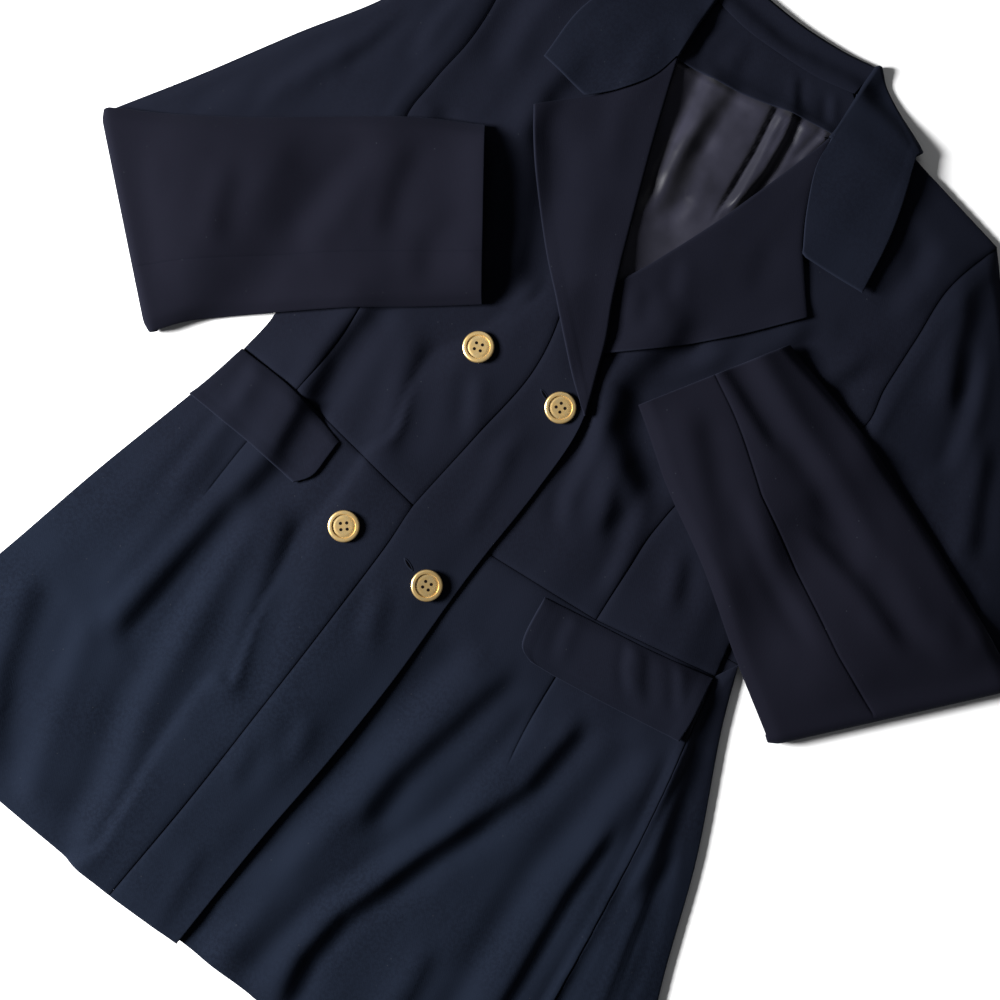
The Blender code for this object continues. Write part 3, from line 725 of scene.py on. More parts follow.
rightSleeve = {
    "upper": table(
        "inner outer",
        ((228, 153), (235, 332)),
        ((224, 118), (269, 290)),
        ((233, 78), (312, 240)),
        ((246, 34), (352, 184)),
    ),
    "fold": ((264, -10), (384, 118)),
    "forearm": table(
        "inner outer",
        ((209, 29), (358, 136)),
        ((154, 69), (306, 160)),
        ((104, 100), (252, 185)),
        ((72, 124), (184, 212)),
        ((54, 137), (118, 231)),
    ),
    "seamShares": (0.43, 0.385, 0.37, 0.38, 0.44, 0.50),
    "seamDip": 0.8,
    "turns": table(
        "path width slope fade",
        (((88, 212), (103, 205), (148, 184), (189, 168), (217, 154), (256, 134)), 12, -0.46, "e"),
        (((72, 196), (100, 186), (136, 170), (160, 160)), 7, 0.3, "e"),
        (((84, 160), (122, 122), (166, 78), (206, 48)), 14, 0.28, "se"),
        (((143, 128), (192, 94), (257, 64)), 9, -0.34, "se"),
        (((190, 134), (258, 118), (312, 96)), 9, 0.34, "se"),
        (((240, 150), (297, 120), (345, 100)), 11, -0.2, "se"),
        (((310, 140), (340, 120)), 9, 0.24, "se"),
    ),
}

outline = (
    column(leftFront["skirt"], "side")[::-1]
    + column(leftFront["side"], "outer")[:0:-1]
    + column(leftSleeve["upper"], "inner")
    + list(leftSleeve["fold"])
    + column(leftSleeve["upper"], "outer")[::-1]
    + [(-200, 368), (-58, 404), (58, 404), (202, 371)]
    + column(rightSleeve["upper"], "outer")
    + list(rightSleeve["fold"][::-1])
    + column(rightSleeve["upper"], "inner")[::-1]
    + column(rightFront["side"], "outer")[1:]
    + column(rightFront["skirt"], "outer")
    + [(160, -372), (0, -372), (-160, -350)]
)

# Where the cloth turns from the light (slope over 0) or to it (under 0), as lines with a width.
# Fade names the ends that die out: s the start, e the end.
underTurns = table(
    "path width slope fade",
    # right skirt
    (
        (
            (147, -58), (147, -79), (141, -128), (128, -162), (109, -206),
            (97, -239), (83, -275), (78, -315), (84, -360),
        ),
        11, 0.55, "s",
    ),
    (((92, -58), (82, -87), (68, -145), (61, -173), (58, -225)), 12, 0.34, "se"),
    (((58, -60), (51, -96), (42, -142), (31, -230), (20, -308), (16, -360)), 16, -0.34, "s"),
    (((120, -70), (115, -113), (105, -177), (91, -215), (66, -285), (56, -350)), 11, -0.26, "s"),
    (((196, -52), (191, -111), (185, -175), (188, -253), (194, -355)), 15, -0.36, "s"),
    (((206, -110), (205, -174), (208, -221), (210, -260), (218, -355)), 7, 0.4, "s"),
    (((211, -39), (224, -113), (232, -184), (235, -243), (246, -355)), 5, -0.4, "s"),
    (((204, 8), (218, -44), (228, -118), (238, -217), (250, -350)), 5, 0.5, "s"),
    (((209, 19), (218, -19), (231, -68), (243, -116), (250, -160)), 10, 0.5, "se"),
    (((247, -100), (254, -145), (260, -178), (269, -220), (285, -340)), 5, 0.42, "s"),
    (((252, -100), (264, -130), (278, -174), (285, -209), (312, -340)), 6, -0.4, "s"),
    (((247, -81), (268, -123), (286, -168), (308, -250)), 6, 0.3, "se"),
    (((150, -250), (154, -300), (160, -355)), 12, 0.26, "s"),
    (((30, -260), (10, -340)), 12, 0.2, "se"),
    # right bodice
    (((60, 210), (48, 174), (42, 142), (53, 118), (74, 98), (106, 84)), 18, 0.5, "se"),
    (((50, 138), (72, 172), (100, 214)), 12, 0.42, "se"),
    (((30, 130), (42, 92), (47, 56), (60, 26)), 8, -0.36, "se"),
    (((66, 92), (80, 66), (86, 40)), 9, 0.36, "se"),
    (((90, 96), (102, 41), (106, 6)), 8, -0.3, "se"),
    (((136, 80), (150, 50), (160, 24)), 9, 0.3, "se"),
    (((161, 360), (168, 322), (161, 282)), 13, -0.26, "se"),
    (((128, 262), (120, 226), (96, 186)), 12, 0.3, "se"),
    (((176, 262), (160, 226), (140, 205)), 10, 0.3, "se"),
    (((196, 100), (190, 60), (196, 20)), 9, -0.2, "se"),
    # right upper arm
    (((205, 345), (219, 298), (243, 250)), 11, 0.34, "se"),
    (((232, 315), (250, 262), (262, 210)), 9, -0.3, "se"),
    (((272, 262), (292, 214), (312, 170)), 11, 0.3, "se"),
)
overTurns = table(
    "path width slope fade",
    # left skirt and the hollow above its flap
    (
        (
            (-134, 108), (-141, 70), (-142, 45), (-138, 16),
            (-136, -40), (-144, -102), (-153, -161), (-160, -212),
        ),
        14, 0.52, "se",
    ),
    (((-136, -60), (-133, -129), (-126, -184), (-122, -234), (-107, -293), (-100, -350)), 15, -0.34, "s"),
    (((-182, 8), (-184, -40), (-190, -110)), 8, -0.26, "se"),
    (((-166, -40), (-172, -110), (-182, -190)), 9, 0.16, "se"),
    (((-104, -50), (-92, -95), (-84, -130), (-72, -165), (-60, -200)), 13, 0.36, "se"),
    (((-226, -190), (-208, -262), (-190, -300), (-176, -335)), 14, 0.3, "s"),
    (((-190, -190), (-172, -262), (-150, -345)), 13, -0.2, "s"),
    (((-20, -168), (-8, -215)), 9, -0.26, "se"),
    (((-36, -196), (-28, -250)), 9, 0.22, "se"),
    (((-30, -60), (-20, -112)), 8, -0.2, "se"),
    (((-24, -280), (-14, -350)), 9, 0.2, "s"),
    (((2, 74), (6, 42), (11, -14)), 10, 0.26, "se"),
    (((-16, -60), (-8, -92), (0, -118)), 9, 0.2, "se"),
    # left bodice
    (((-140, 250), (-112, 214), (-92, 178), (-78, 140)), 13, 0.5, "se"),
    (((-122, 266), (-92, 222), (-70, 180), (-54, 150)), 24, 0.42, "se"),
    (((-60, 210), (-58, 170), (-64, 132)), 10, -0.36, "se"),
    (((-58, 98), (-44, 72), (-31, 46)), 8, -0.3, "se"),
    (((-96, 104), (-88, 70), (-74, 34), (-70, 4)), 13, 0.36, "se"),
    (((-6, 84), (-14, 40)), 8, -0.2, "se"),
    (((-110, 330), (-118, 285), (-112, 240)), 12, 0.34, "se"),
    (((-160, 370), (-166, 320), (-160, 270)), 13, -0.24, "se"),
    (((-178, 240), (-170, 200)), 9, 0.24, "se"),
    # left upper arm
    (((-234, 290), (-245, 242), (-258, 205)), 9, 0.3, "se"),
    (((-262, 250), (-276, 200), (-292, 160)), 11, -0.28, "se"),
    (((-300, 225), (-318, 176), (-334, 130)), 10, 0.3, "se"),
    (((-210, 330), (-216, 280), (-212, 240)), 9, -0.24, "se"),
)


def fromOutline(points):
    pairs = zip(outline, outline[1:] + outline[:1])
    return np.minimum.reduce([distanceTo(points, pair)[0] for pair in pairs if pair[0] != pair[1]])


away = fromOutline(mapPoints)
loftShare = smoothStep(away / cloth["loftReach"])
rise = cloth["edgeRise"] * rounded(away, cloth["edgeReach"])
lengthwise = mapPoints * (1.0, 0.32)  # small creases run down the garment
swell = 1.1 * waves(mapPoints, 46, 3) + 0.5 * waves(lengthwise, 19, 5)
swell = swell + 0.08 * waves(lengthwise, 8, 8)
base = 1.5 * cloth["wall"] + cloth["gap"]


def layerField(turns):
    height = cloth["loft"] + cloth["turnGain"] * turned(mapPoints, turns) + swell
    return base + rise + loftShare * softMax(height, 0, 1.5)


underField = layerField(underTurns)
overField = layerField(overTurns)
print("creases set out")

# ---- back, neck and lining

pile = np.zeros((mapSide, mapSide))
under = np.zeros_like(pile)  # the collar's fall behind the neck
backCut = {
    "bodice": (
        ((-200, 368), (-58, 403), (0, 397), (58, 403), (202, 371)),
        ((-189, 325), (-70, 330), (70, 330), (189, 327)),
        ((-187, 284), (-70, 284), (70, 284), (190, 284)),
        ((-192, 245), (-70, 245), (70, 245), (191, 245)),
        ((-192, 207), (-70, 205), (70, 205), (192, 207)),
        ((-214, 163), (-75, 163), (75, 163), (215, 163)),
        ((-199, 97), (-72, 97), (72, 97), (200, 97)),
        ((-194, 50), (-70, 50), (70, 50), (198, 50)),
        ((-198, 16), (-70, 10), (70, 10), (215, 26)),
    ),
    "skirt": (
        ((-198, 16), (-70, 10), (70, 10), (215, 26)),
        ((-211, -31), (0, -30), (232, -22)),
        ((-236, -113), (0, -112), (267, -104)),
        ((-259, -197), (0, -198), (295, -188)),
        ((-283, -275), (0, -282), (326, -268)),
        ((-292, -322), (-150, -344), (30, -357), (200, -355), (352, -350)),
    ),
    "cell": 7.0,
}
collarCut = {
    "leftLeaf": (
        (
            (-60, 354), (-66, 333), (-80, 313), (-95, 298),
            (-98, 295.5), (-102, 296), (-120, 299), (-137, 302),
        ),
        ((-61, 381), (-78, 365), (-96, 354), (-114, 346), (-134, 345)),
        ((-61, 427), (-115, 392)),
    ),
    "rightLeaf": (
        ((62, 366), (64, 344), (76, 314), (88.5, 291), (90, 288), (94, 287.5), (118, 288), (140, 289)),
        ((62, 388), (78, 369), (95, 355), (113, 343), (133, 339)),
        ((62, 427), (118, 391)),
    ),
    "fall": (
        ((-61, 427), (-115, 392)),
        ((-36, 425), (-52, 371)),
        ((0, 422), (0, 364)),
        ((36, 423), (52, 371)),
        ((62, 427), (118, 391)),
    ),
    "stand": (
        ((-61, 428), (-36, 426), (0, 423), (36, 424), (62, 428)),
        ((-58, 404), (-30, 399), (0, 398), (30, 399), (58, 404)),
    ),
    "roll": 1.4,
    "spring": 0.6,  # the leaves spring up at the neck fold
    "tilt": 4.4,  # and rise over the lapels
    "tone": 0.5,
    "cell": 2.6,
}


def makeBack():
    fall, _, _ = panel(collarCut["fall"], 4)
    layOn(under, withZ(fall, np.full(fall.shape[:2], cloth["doubled"] + cloth["gap"])))
    cell, rests = backCut["cell"], ["turnedCollar"]
    field = drape(under, 2, 12, 2) + cloth["wall"] / 2
    laidPanel("backBodice", field, backCut["bodice"], edges("fold fold fold seam"), cell)
    field = np.full_like(pile, cloth["wall"] / 2)
    laidPanel("backSkirt", field, backCut["skirt"], edges("fold fold seam edge"), cell)


neckCut = {
    "facing": (
        ((-55, 406), (-28, 402), (0, 400), (28, 402), (55, 406)),
        ((-76, 378), (-38, 379), (0, 378), (38, 381), (76, 385)),
        ((-80, 352), (-40, 355), (-2, 360), (34, 368), (78, 372)),
    ),
    "lining": (
        ((-80, 357), (-40, 360), (-2, 365), (34, 373), (78, 377)),
        ((-72, 305), (-38, 306), (-3, 308), (32, 312), (66, 316)),
        ((-56, 250), (-31, 252), (-7, 254), (18, 258), (42, 262)),
        ((-38, 202), (-23, 203), (-8, 204), (7, 206), (22, 208)),
        ((-26, 180), (-18, 181), (-10, 182), (-2, 183), (6, 184)),
    ),
    "pleat": ((17, 368), (22, 331), (24, 292), (25.5, 268)),
    "pleatDepth": 1.8,
    "loft": 4.4,
    "roll": ((-60, 354), (-46, 308), (-32, 266), (-13, 212)),  # the lapel's roll lifts the lining
    "rollLift": 2.6,
    "facingWall": 1.2,
    "liningWall": 0.8,
    "standWall": 1.3,
    "standRise": 3.4,
}
facingTurns = table(
    "path width slope fade",
    (((16, 396), (26, 380), (34, 368)), 5, 0.4, "se"),
    (((42, 398), (50, 384), (58, 372)), 5, -0.4, "se"),
    (((-20, 396), (-22, 378), (-18, 362)), 8, 0.2, "se"),
    (((-44, 398), (-50, 378), (-48, 356)), 7, -0.3, "se"),
)
liningTurns = table(
    "path width slope fade",
    (((-35, 356), (-27, 300), (-16, 248)), 9, -0.8, "e"),
    (((-14, 364), (-15, 325), (-14, 287)), 8, 0.5, "e"),
    (((-2, 310), (4, 276), (2, 250)), 8, -0.35, "se"),
    (((21, 368), (26, 330), (28, 300), (29, 280)), 3.8, -1.5, "e"),
    (((31, 374), (36, 350), (37.5, 325), (36.5, 303), (31, 280)), 4.6, 1.7, "e"),
    (((55, 368), (49, 337)), 3, -1.1, "e"),
    (((60, 364), (54, 337)), 2.4, 1.3, "e"),
)


def liningHeight(flat, borders):
    away, along, _, length = distanceTo(flat, neckCut["pleat"])
    pleat = -neckCut["pleatDepth"] * np.exp(-((away / 1.2) ** 2)) * fading(along, length, "e")
    creases = turned(flat, liningTurns) + 0.4 * waves(flat, 14, 4) + pleat
    lift = neckCut["rollLift"] * np.exp(-((distanceTo(flat, neckCut["roll"])[0] / 20) ** 2))
    return (lift + softMax(neckCut["loft"] + creases, 0, 0.6)) * smoothStep((borders["first"] + 2) / 12)


def facingHeight(flat, borders):
    return turned(flat, facingTurns)


def standHeight(flat, borders):
    # up over the collar's fold at the top, level with the facing at the bottom
    top = neckCut["standRise"] * np.exp(-((borders["first"] / 12) ** 2))
    return top + 0.4 * smoothStep(borders["last"] / 6)


def makeNeck():
    field = drape(pile, 2, 6, 1) + 0.8
    kinds = edges("hidden hidden hidden hidden")
    rows, wall = neckCut["lining"], neckCut["liningWall"]
    laidPanel("backLining", field, rows, kinds, 1.15, wall=wall, curve=liningHeight, slot="lining")
    field = drape(pile, 2, 14, 2) + 0.7
    kinds = edges("hidden hidden hidden edge")
    wall = neckCut["facingWall"]
    laidPanel("neckFacing", field, neckCut["facing"], kinds, 2.0, wall=wall, curve=facingHeight)
    field = drape(pile, 3, 12, 3) + 0.9
    kinds = edges("hidden hidden fold soft")
    wall = neckCut["standWall"]
    laidPanel("collarStand", field, collarCut["stand"], kinds, 2.0, wall=wall, curve=standHeight)


makeBack()
makeNeck()
print("back, neck and lining laid")

# ---- fronts

def makeRightFront():
    field = softMax(drape(pile, 2, 30) + cloth["wall"] / 2 + cloth["gap"], underField, 0.8)
    cut = rightFront
    rows = rowsOf(cut["bodice"], "edge outer")
    laidPanel("rightFrontBodice", field, rows, edges("edge seam fold seam"))
    rows = rowsOf(cut["side"], "inner outer")
    laidPanel("rightFrontSide", field, rows, edges("seam fold seam seam"), steer=1)
    rows = rowsOf(cut["skirt"], "edge dart seam")
    laidPanel("rightFrontSkirt", field, rows, edges("edge seam seam edge"), darts=cut["darts"])
    rows = rowsOf(cut["skirt"], "seam outer")
    laidPanel("rightSideSkirt", field, rows, edges("seam fold fold edge"))


def makeLeftFront():
    # where it laps over the right front it bridges that, and its own creases lie on the bridge
    cut = leftFront
    lapped = drape(pile, 3, 90, 12) + cloth["wall"] / 2 + cloth["gap"] + 0.2
    fromEdge = distanceTo(mapPoints, column(cut["bodice"], "edge")[:-1] + column(cut["skirt"], "edge"))[0]
    relief = softMax(2.0 + cloth["turnGain"] * turned(mapPoints, overTurns) + 0.5 * swell, 0, 1.5)
    relief = relief * smoothStep((lapped - overField + 0.5) / 1.5) * smoothStep((fromEdge - 3) / 26)
    field = softMax(lapped, overField, 0.8) + relief
    rows = rowsOf(cut["bodice"], "outer band")
    laidPanel("leftFrontBodice", field, rows, edges("seam seam fold seam"))
    rows = rowsOf(cut["side"], "outer inner")
    laidPanel("leftFrontSide", field, rows, edges("fold seam seam seam"), steer=1)
    rows = rowsOf(cut["skirt"], "side dart band")
    laidPanel("leftFrontSkirt", field, rows, edges("fold seam seam edge"), darts=cut["darts"])
    rows = rowsOf(cut["bodice"][:-1] + cut["skirt"], "band edge")
    laidPanel("leftFrontBand", field, rows, edges("seam edge fold edge"))


flapCut = {
    "left": (
        ((-199, 15), (-150, 11), (-105, -1)),
        ((-204, -6), (-154, -9), (-105.5, -14)),
        ((-209, -24), (-156, -28), (-107, -31)),
        ((-212, -32), (-156, -37), (-116, -43)),
    ),
    "right": (
        ((75, -11), (114, -6), (160, 0), (205, 8)),
        ((76, -26), (116, -22), (160, -16), (207, -9)),
        ((78, -41), (118, -39), (160, -34), (209, -27)),
        ((82, -49.5), (92, -51), (118, -49.5), (160, -45), (209, -38)),
        ((92, -54), (118, -52.5), (160, -48), (209, -42)),
    ),
    "curl": 0.7,
    "puff": 0.8,
    "tone": 0.15,
    "cell": 2.4,
}
flapTurns = table(
    "path width slope fade",
    (((140, 0), (149, -20), (166, -40)), 5, -0.5, "e"),
    (((152, 0), (164, -20), (180, -40)), 6, 0.4, "e"),
    (((176, 4), (186, -10), (200, -30)), 5, -0.5, "e"),
    (((98, -6), (100, -26), (108, -50)), 7, -0.3, "e"),
    (((-185, 8), (-182, -26)), 8, -0.3, "e"),
    (((-140, 6), (-136, -40)), 7, 0.35, "e"),
)


def flapCurve(flat, borders):
    curl = flapCut["curl"] * np.exp(-borders["last"] / 9) * rounded(borders["first"], 14)
    return curl + flapCut["puff"] * smoothStep(borders["first"] / 8) * (1 + turned(flat, flapTurns))


def makeFlap(side):
    field = drape(pile, 2, 16, 3) + cloth["wall"] / 2 + 0.2
    kinds, cell, tone = edges("edge edge taper edge"), flapCut["cell"], flapCut["tone"]
    laidPanel(f"{side}Flap", field, flapCut[side], kinds, cell, curve=flapCurve, tone=tone)


# ---- lapels and collar, which turn over

lapelCut = {
    "left": (
        ((26, 110), (21, 114)),
        ((17, 136), (4, 128)),
        ((8, 162), (-16, 147)),
        ((-3, 186), (-39, 170)),
        ((-13, 212), (-63, 194)),
        ((-32, 266), (-95, 230)),
        ((-46, 308), (-112, 252)),
        ((-60, 354), (-66, 333), (-78, 315), (-92, 300), (-109, 285), (-124, 270)),
    ),
    "right": (
        ((-47, 128), (-41, 121)),
        ((-34, 150), (-10, 136)),
        ((-17, 182), (22, 160)),
        ((0, 208), (54, 187)),
        ((14, 237), (84, 216)),
        ((36, 290), (104, 238)),
        ((62, 366), (66, 344), (74, 320), (84, 299), (92, 287), (118, 254)),
    ),
    "roll": 1.1,
    "spring": 0.3,  # springs up at the roll
    "stand": 1.2,  # how far the outer edge floats above the front
    "tone": 0.85,
    "cell": 2.4,
}
lapelTurns = table(
    "path width slope fade",
    (((20, 245), (36, 205)), 8, -0.26, "se"),
    (((10, 212), (24, 178)), 8, 0.22, "se"),
    (((62, 290), (74, 236)), 12, 0.12, "se"),
    (((-60, 300), (-56, 240), (-44, 200)), 14, 0.1, "se"),
)
rollSweep = {"angle": 150, "steps": 7}  # how far round a roll goes on under its sheet


def upright(grid, at=3):
    # normals that point up where the sheet shows
    normals = facing(grid)
    return -normals if normals[3, at, 2] < 0 else normals


def rolledColumns(mid, radius):
    # columns that turn down and under along the first column
    outward = mid[:, 0] - mid[:, 1]
    outward /= np.linalg.norm(outward, axis=1, keepdims=True)
    up = upright(mid)[:, 1]
    sweep, steps = rollSweep["angle"], rollSweep["steps"]
    made = []
    for angle in np.radians(np.linspace(sweep, sweep / steps, steps)):
        made.append(mid[:, 0] - up * radius * (1 - math.cos(angle)) + outward * radius * math.sin(angle))
    return np.stack(made, axis=1)


def turnedSheet(name, nodes, mid, flat, borders, kinds, make):
    # a sheet with a rolled first column, its wall square to it everywhere
    roll = rolledColumns(mid, make["roll"])
    count = roll.shape[1]
    whole = np.concatenate([roll, mid], axis=1)
    normals = upright(whole, count + 3)
    step = make["roll"] * math.radians(rollSweep["angle"]) / count
    widths = np.broadcast_to(step * np.arange(count), roll.shape[:2])
    way = flat[:, 1:2] - flat[:, :1]
    way = way / np.maximum(np.linalg.norm(way, axis=-1, keepdims=True), 1e-6)
    cut = np.concatenate([flat[:, :1] - (widths[..., ::-1] + step)[..., None] * way, flat], axis=1)
    grown = {
        "left": np.concatenate([widths, borders["left"] + step * count], axis=1),
        "right": np.concatenate([np.full(widths.shape, 99.0), borders["right"]], axis=1),
        "first": np.repeat(borders["first"][:, :1], whole.shape[1], axis=1),
        "last": np.repeat(borders["last"][:, :1], whole.shape[1], axis=1),
    }
    half = wallAt(grown, kinds, cloth["doubled"])
    marks = marksOf(grown, kinds, 1.0, np.full(half.shape, make["tone"]))
    obj = makeObject(name, closedSheet(whole, normals, half), cut, marks, looks["navy"])
    declare(obj, nodes, cutOf(cut))
    return whole + normals * half[..., None]


def makeLapel(side):
    flat, borders, _ = panel(lapelCut[side], lapelCut["cell"])
    field = drape(pile, 2, 10, 3) + cloth["doubled"] / 2 + 0.2
    kinds = edges("hidden edge edge seam")
    height = finish(sample(field, flat), borders, kinds)
    height = height + lapelCut["spring"] * np.exp(-borders["left"] / 7) + 0.45 * waves(flat, 30, 11)
    height = height + turned(flat, lapelTurns) + lapelCut["stand"] * smoothStep(borders["left"] / 30)
    mid = withZ(flat, height)
    layOn(pile, turnedSheet(f"{side}Lapel", [f"{side}_lapel"], mid, flat, borders, kinds, lapelCut))


def awayFrom(a, b, inside):
    # level direction square to the line from a to b, away from a point
    out = np.array([(b - a)[1], -(b - a)[0]]) / np.linalg.norm(b - a)
    return -out if out @ (a - inside) < 0 else out


def halfTurn(start, end, steps=9):
    # rows round a fold, from the last row of one stretch to the first of the next
    square = awayFrom(start[0, :2], start[-1, :2], np.array([0, 300]))
    radius = (start[:, 2] - end[:, 2]) / 2
    middle = (start[:, 2] + end[:, 2]) / 2
    rows = []
    for k in range(1, steps + 1):
        angle = math.pi * (0.5 - k / (steps + 1))
        spot = start[:, :2] + square * np.abs(radius)[:, None] * math.cos(angle)
        rows.append(np.column_stack([spot, middle + radius * math.sin(angle)]))
    return np.array(rows)


def evenRows(rows, cell):
    dense = smoothRows([evenLine(row) for row in rows], 12)
    lengths = lengthsDown(dense)
    along = spaced(lengths[-1], cell, cell < 3, False)
    return pick(dense, np.interp(along, lengths, np.arange(len(lengths))), np.arange(49) * 1.0)


def makeCollar(pileBelow):
    # one strip: the left leaf, round the shoulder, the fall under the back, and the right leaf
    make = collarCut
    leftFlat, leftBorders, _ = panel(make["leftLeaf"], make["cell"], fineRows=(True, False))
    places = (leftBorders["left"] / leftBorders["left"][:, -1:]).mean(axis=0)

    def fitted(flat):
        # the other stretches get the left leaf's columns
        own = np.linspace(0, 1, flat.shape[1])
        lines = [[np.interp(places, own, row[:, k]) for k in range(2)] for row in flat]
        return np.stack(lines).transpose(0, 2, 1)

    rightFlat = fitted(evenRows(make["rightLeaf"], make["cell"]))[::-1]
    fallFlat = fitted(evenRows(make["fall"], 4.0))
    field = drape(pileBelow, 2, 14, 4) + cloth["doubled"] / 2 + 0.4
    leaves = []
    for flat in (leftFlat, rightFlat):
        outer = np.linalg.norm(flat - flat[:, -1:], axis=-1)
        inner = np.linalg.norm(flat - flat[:, :1], axis=-1)
        step = cloth["allowanceRise"] * (1 - smoothStep((outer - cloth["allowance"]) / 2.5))
        rise = make["spring"] * np.exp(-inner / 9) + make["tilt"] * smoothStep(inner / 60)
        leaves.append(withZ(flat, sample(field, flat) + step + rise + 0.5 * waves(flat, 28, 13)))
    left, right = leaves
    fall = withZ(fallFlat, np.full(fallFlat.shape[:2], cloth["doubled"] / 2))
    strip = np.concatenate([left, halfTurn(left[-1], fall[0]), fall, halfTurn(fall[-1], right[0]), right])
    borders = bordersOf(rowWidths(strip), lengthsDown(strip))
    flat = np.stack([borders["first"], borders["left"]], axis=-1)  # the cut opens out flat
    kinds = edges("hidden edge edge edge")
    top = turnedSheet("turnedCollar", ["collar"], strip, flat, borders, kinds, make)
    layOn(pile, top[: len(left)])
    layOn(pile, top[-len(right) :])


makeRightFront()
makeFlap("right")
bareRight = pile.copy()
makeLapel("right")
makeLeftFront()
makeFlap("left")
bareLeft = pile.copy()
makeLapel("left")
makeCollar(np.where(mapPoints[..., 0] > 0, bareRight, bareLeft))
print("fronts, flaps, lapels and collar laid")

# ---- sleeves, each one tube folded over at the elbow

sleeveMake = {
    "wall": 1.5,
    "thick": 6.0,  # both walls of the flattened tube
    "loft": 4.6,
    "ridges": 1.3,
    "capRise": 1.3,  # the cap stands proud of the armhole seam
    "tone": (0.62, 0.92),  # above and below the elbow
    "inside": 1.3,  # radius inside the elbow fold
    "edgeRound": 7.5,
    "meet": 0.35,  # how high up its side the two walls meet
    "turnSteps": 10,
    "cell": 3.2,
}


def armholeLine(front, steps=12):
    # from the armpit up to the shoulder
    curve = smoothRows(column(front["bodice"], "outer"), steps)[: 4 * steps + 1]
    pit = front["side"][1]
    return np.concatenate([evenLine([pit["outer"], pit["inner"]], 8)[:-1], curve[::-1]])


def sleevePlaces(width, share):
    # shares across a sleeve, crowded at both edges and at the seam
    fine = np.array([0, 0.1, 0.35, 0.8, 1.6, 2.6]) / width
    near = share + np.array([-2.0, -1.0, -0.45, 0, 0.45, 1.0, 2.0]) / width

    def steps(part):
        return max(2, round((part * width - 5) / sleeveMake["cell"])) + 1

    low = np.linspace(fine[-1], near[0], steps(share))
    high = np.linspace(near[-1], 1 - fine[-1], steps(1 - share))
    return np.concatenate([fine[:-1], low[:-1], near, high[1:], (1 - fine[:-1])[::-1]])


def sleeveStretch(rows, places, shares, fineRows):
    # a flat stretch of sleeve, its seam column moved to the seam's share in each row
    dense = smoothRows([evenLine(row, 65) for row in rows], 12)
    lengths = lengthsDown(dense)
    along = spaced(lengths[-1], sleeveMake["cell"], *fineRows)
    grid = []
    for at in np.interp(along, lengths, np.arange(len(lengths))):
        share = np.interp(at / (len(dense) - 1), np.linspace(0, 1, len(shares)), shares)
        moved = np.interp(places, [0, shares[0], 1], [0, share, 1])
        grid.append(pick(dense, np.array([at]), moved * 64)[0])
    return np.array(grid), along


def closing(flat):
    # 1 where the two walls lie apart, 0 where they meet at a folded edge
    first, last = (np.linalg.norm(flat - edge, axis=-1) for edge in (flat[:, :1], flat[:, -1:]))
    away = np.minimum(first, last)
    return 0.15 * rounded(away, 1.3) + 0.85 * (1 - softMax(1 - away / sleeveMake["edgeRound"], 0, 0.12))


def wallPair(flat, low, high):
    # both walls, brought together at the folded edges
    middle, apart = low + sleeveMake["meet"] * (high - low), closing(flat)
    return withZ(flat, middle + (low - middle) * apart), withZ(flat, middle + (high - middle) * apart)


def elbowRows(line, out):
    # rows round the elbow fold, on its inner and its outer wall
    inside, thick, meet, steps = (sleeveMake[key] for key in ("inside", "thick", "meet", "turnSteps"))
    centre = inside + thick
    apart = closing(line[None])[0]
    inner, outer = [], []
    for k in range(1, steps):
        angle = -math.pi / 2 + math.pi * k / steps
        middle = inside + thick * (1 - meet + (2 * meet - 1) * k / steps)
        for rows, radius in ((inner, inside), (outer, centre)):
            reach = middle + (radius - middle) * apart
            spot = line + out * (reach * math.cos(angle))[:, None]
            rows.append(np.column_stack([spot, centre + reach * math.sin(angle)]))
    return np.array(inner), np.array(outer)


def grooveAt(flat, column, near, far):
    away = np.linalg.norm(flat - flat[:, column : column + 1], axis=-1)
    return near * np.exp(-((away / 0.75) ** 2)) + far * np.exp(-((away / 5) ** 2))


def upperHeights(flat, along, field, seamColumn):
    # upper arm: one wall on the floor, the other as high as the cloth beside it
    make = sleeveMake
    toFold = smoothStep((along[-1] - along) / 45)[:, None]
    top = make["thick"] + (sample(field, flat) + cloth["wall"] / 2 - make["thick"]) * toFold
    top = top - cloth["seamDip"] * np.exp(-((along / 1.3) ** 2))[:, None]
    top = top + make["capRise"] * np.exp(-(((along - 9) / 6) ** 2))[:, None]
    return grooveAt(flat, seamColumn, 0.5, 0), top


def lowerHeights(flat, along, cut, seamColumn, places):
    # forearm, on everything laid so far and on its own upper arm
    make = sleeveMake
    thick, start = make["thick"], make["thick"] + 2 * make["inside"]
    low = sample(drape(pile, 3, 90, 5), flat) + 0.4
    fromFold = smoothStep(along / 60)[:, None]
    low = softMax(low * fromFold + start * (1 - fromFold), low, 0.6)
    low[0] = start
    crown = np.sin(math.pi * np.clip(places, 0, 1))[None, :] ** 0.5
    ridges = make["ridges"] * turned(flat, cut["turns"])
    ridges = ridges + 0.5 * waves(flat, 38, 21) + 0.22 * waves(flat, 17, 22)
    high = low + thick + fromFold * crown * np.maximum(-1.5, make["loft"] + ridges)
    cuff = 1 - rounded((along[-1] - along)[:, None], 1.0)
    high = high - 0.55 * cuff - grooveAt(flat, seamColumn, cut["seamDip"], 0.6 * cut["seamDip"])
    return low + 0.3 * cuff, high


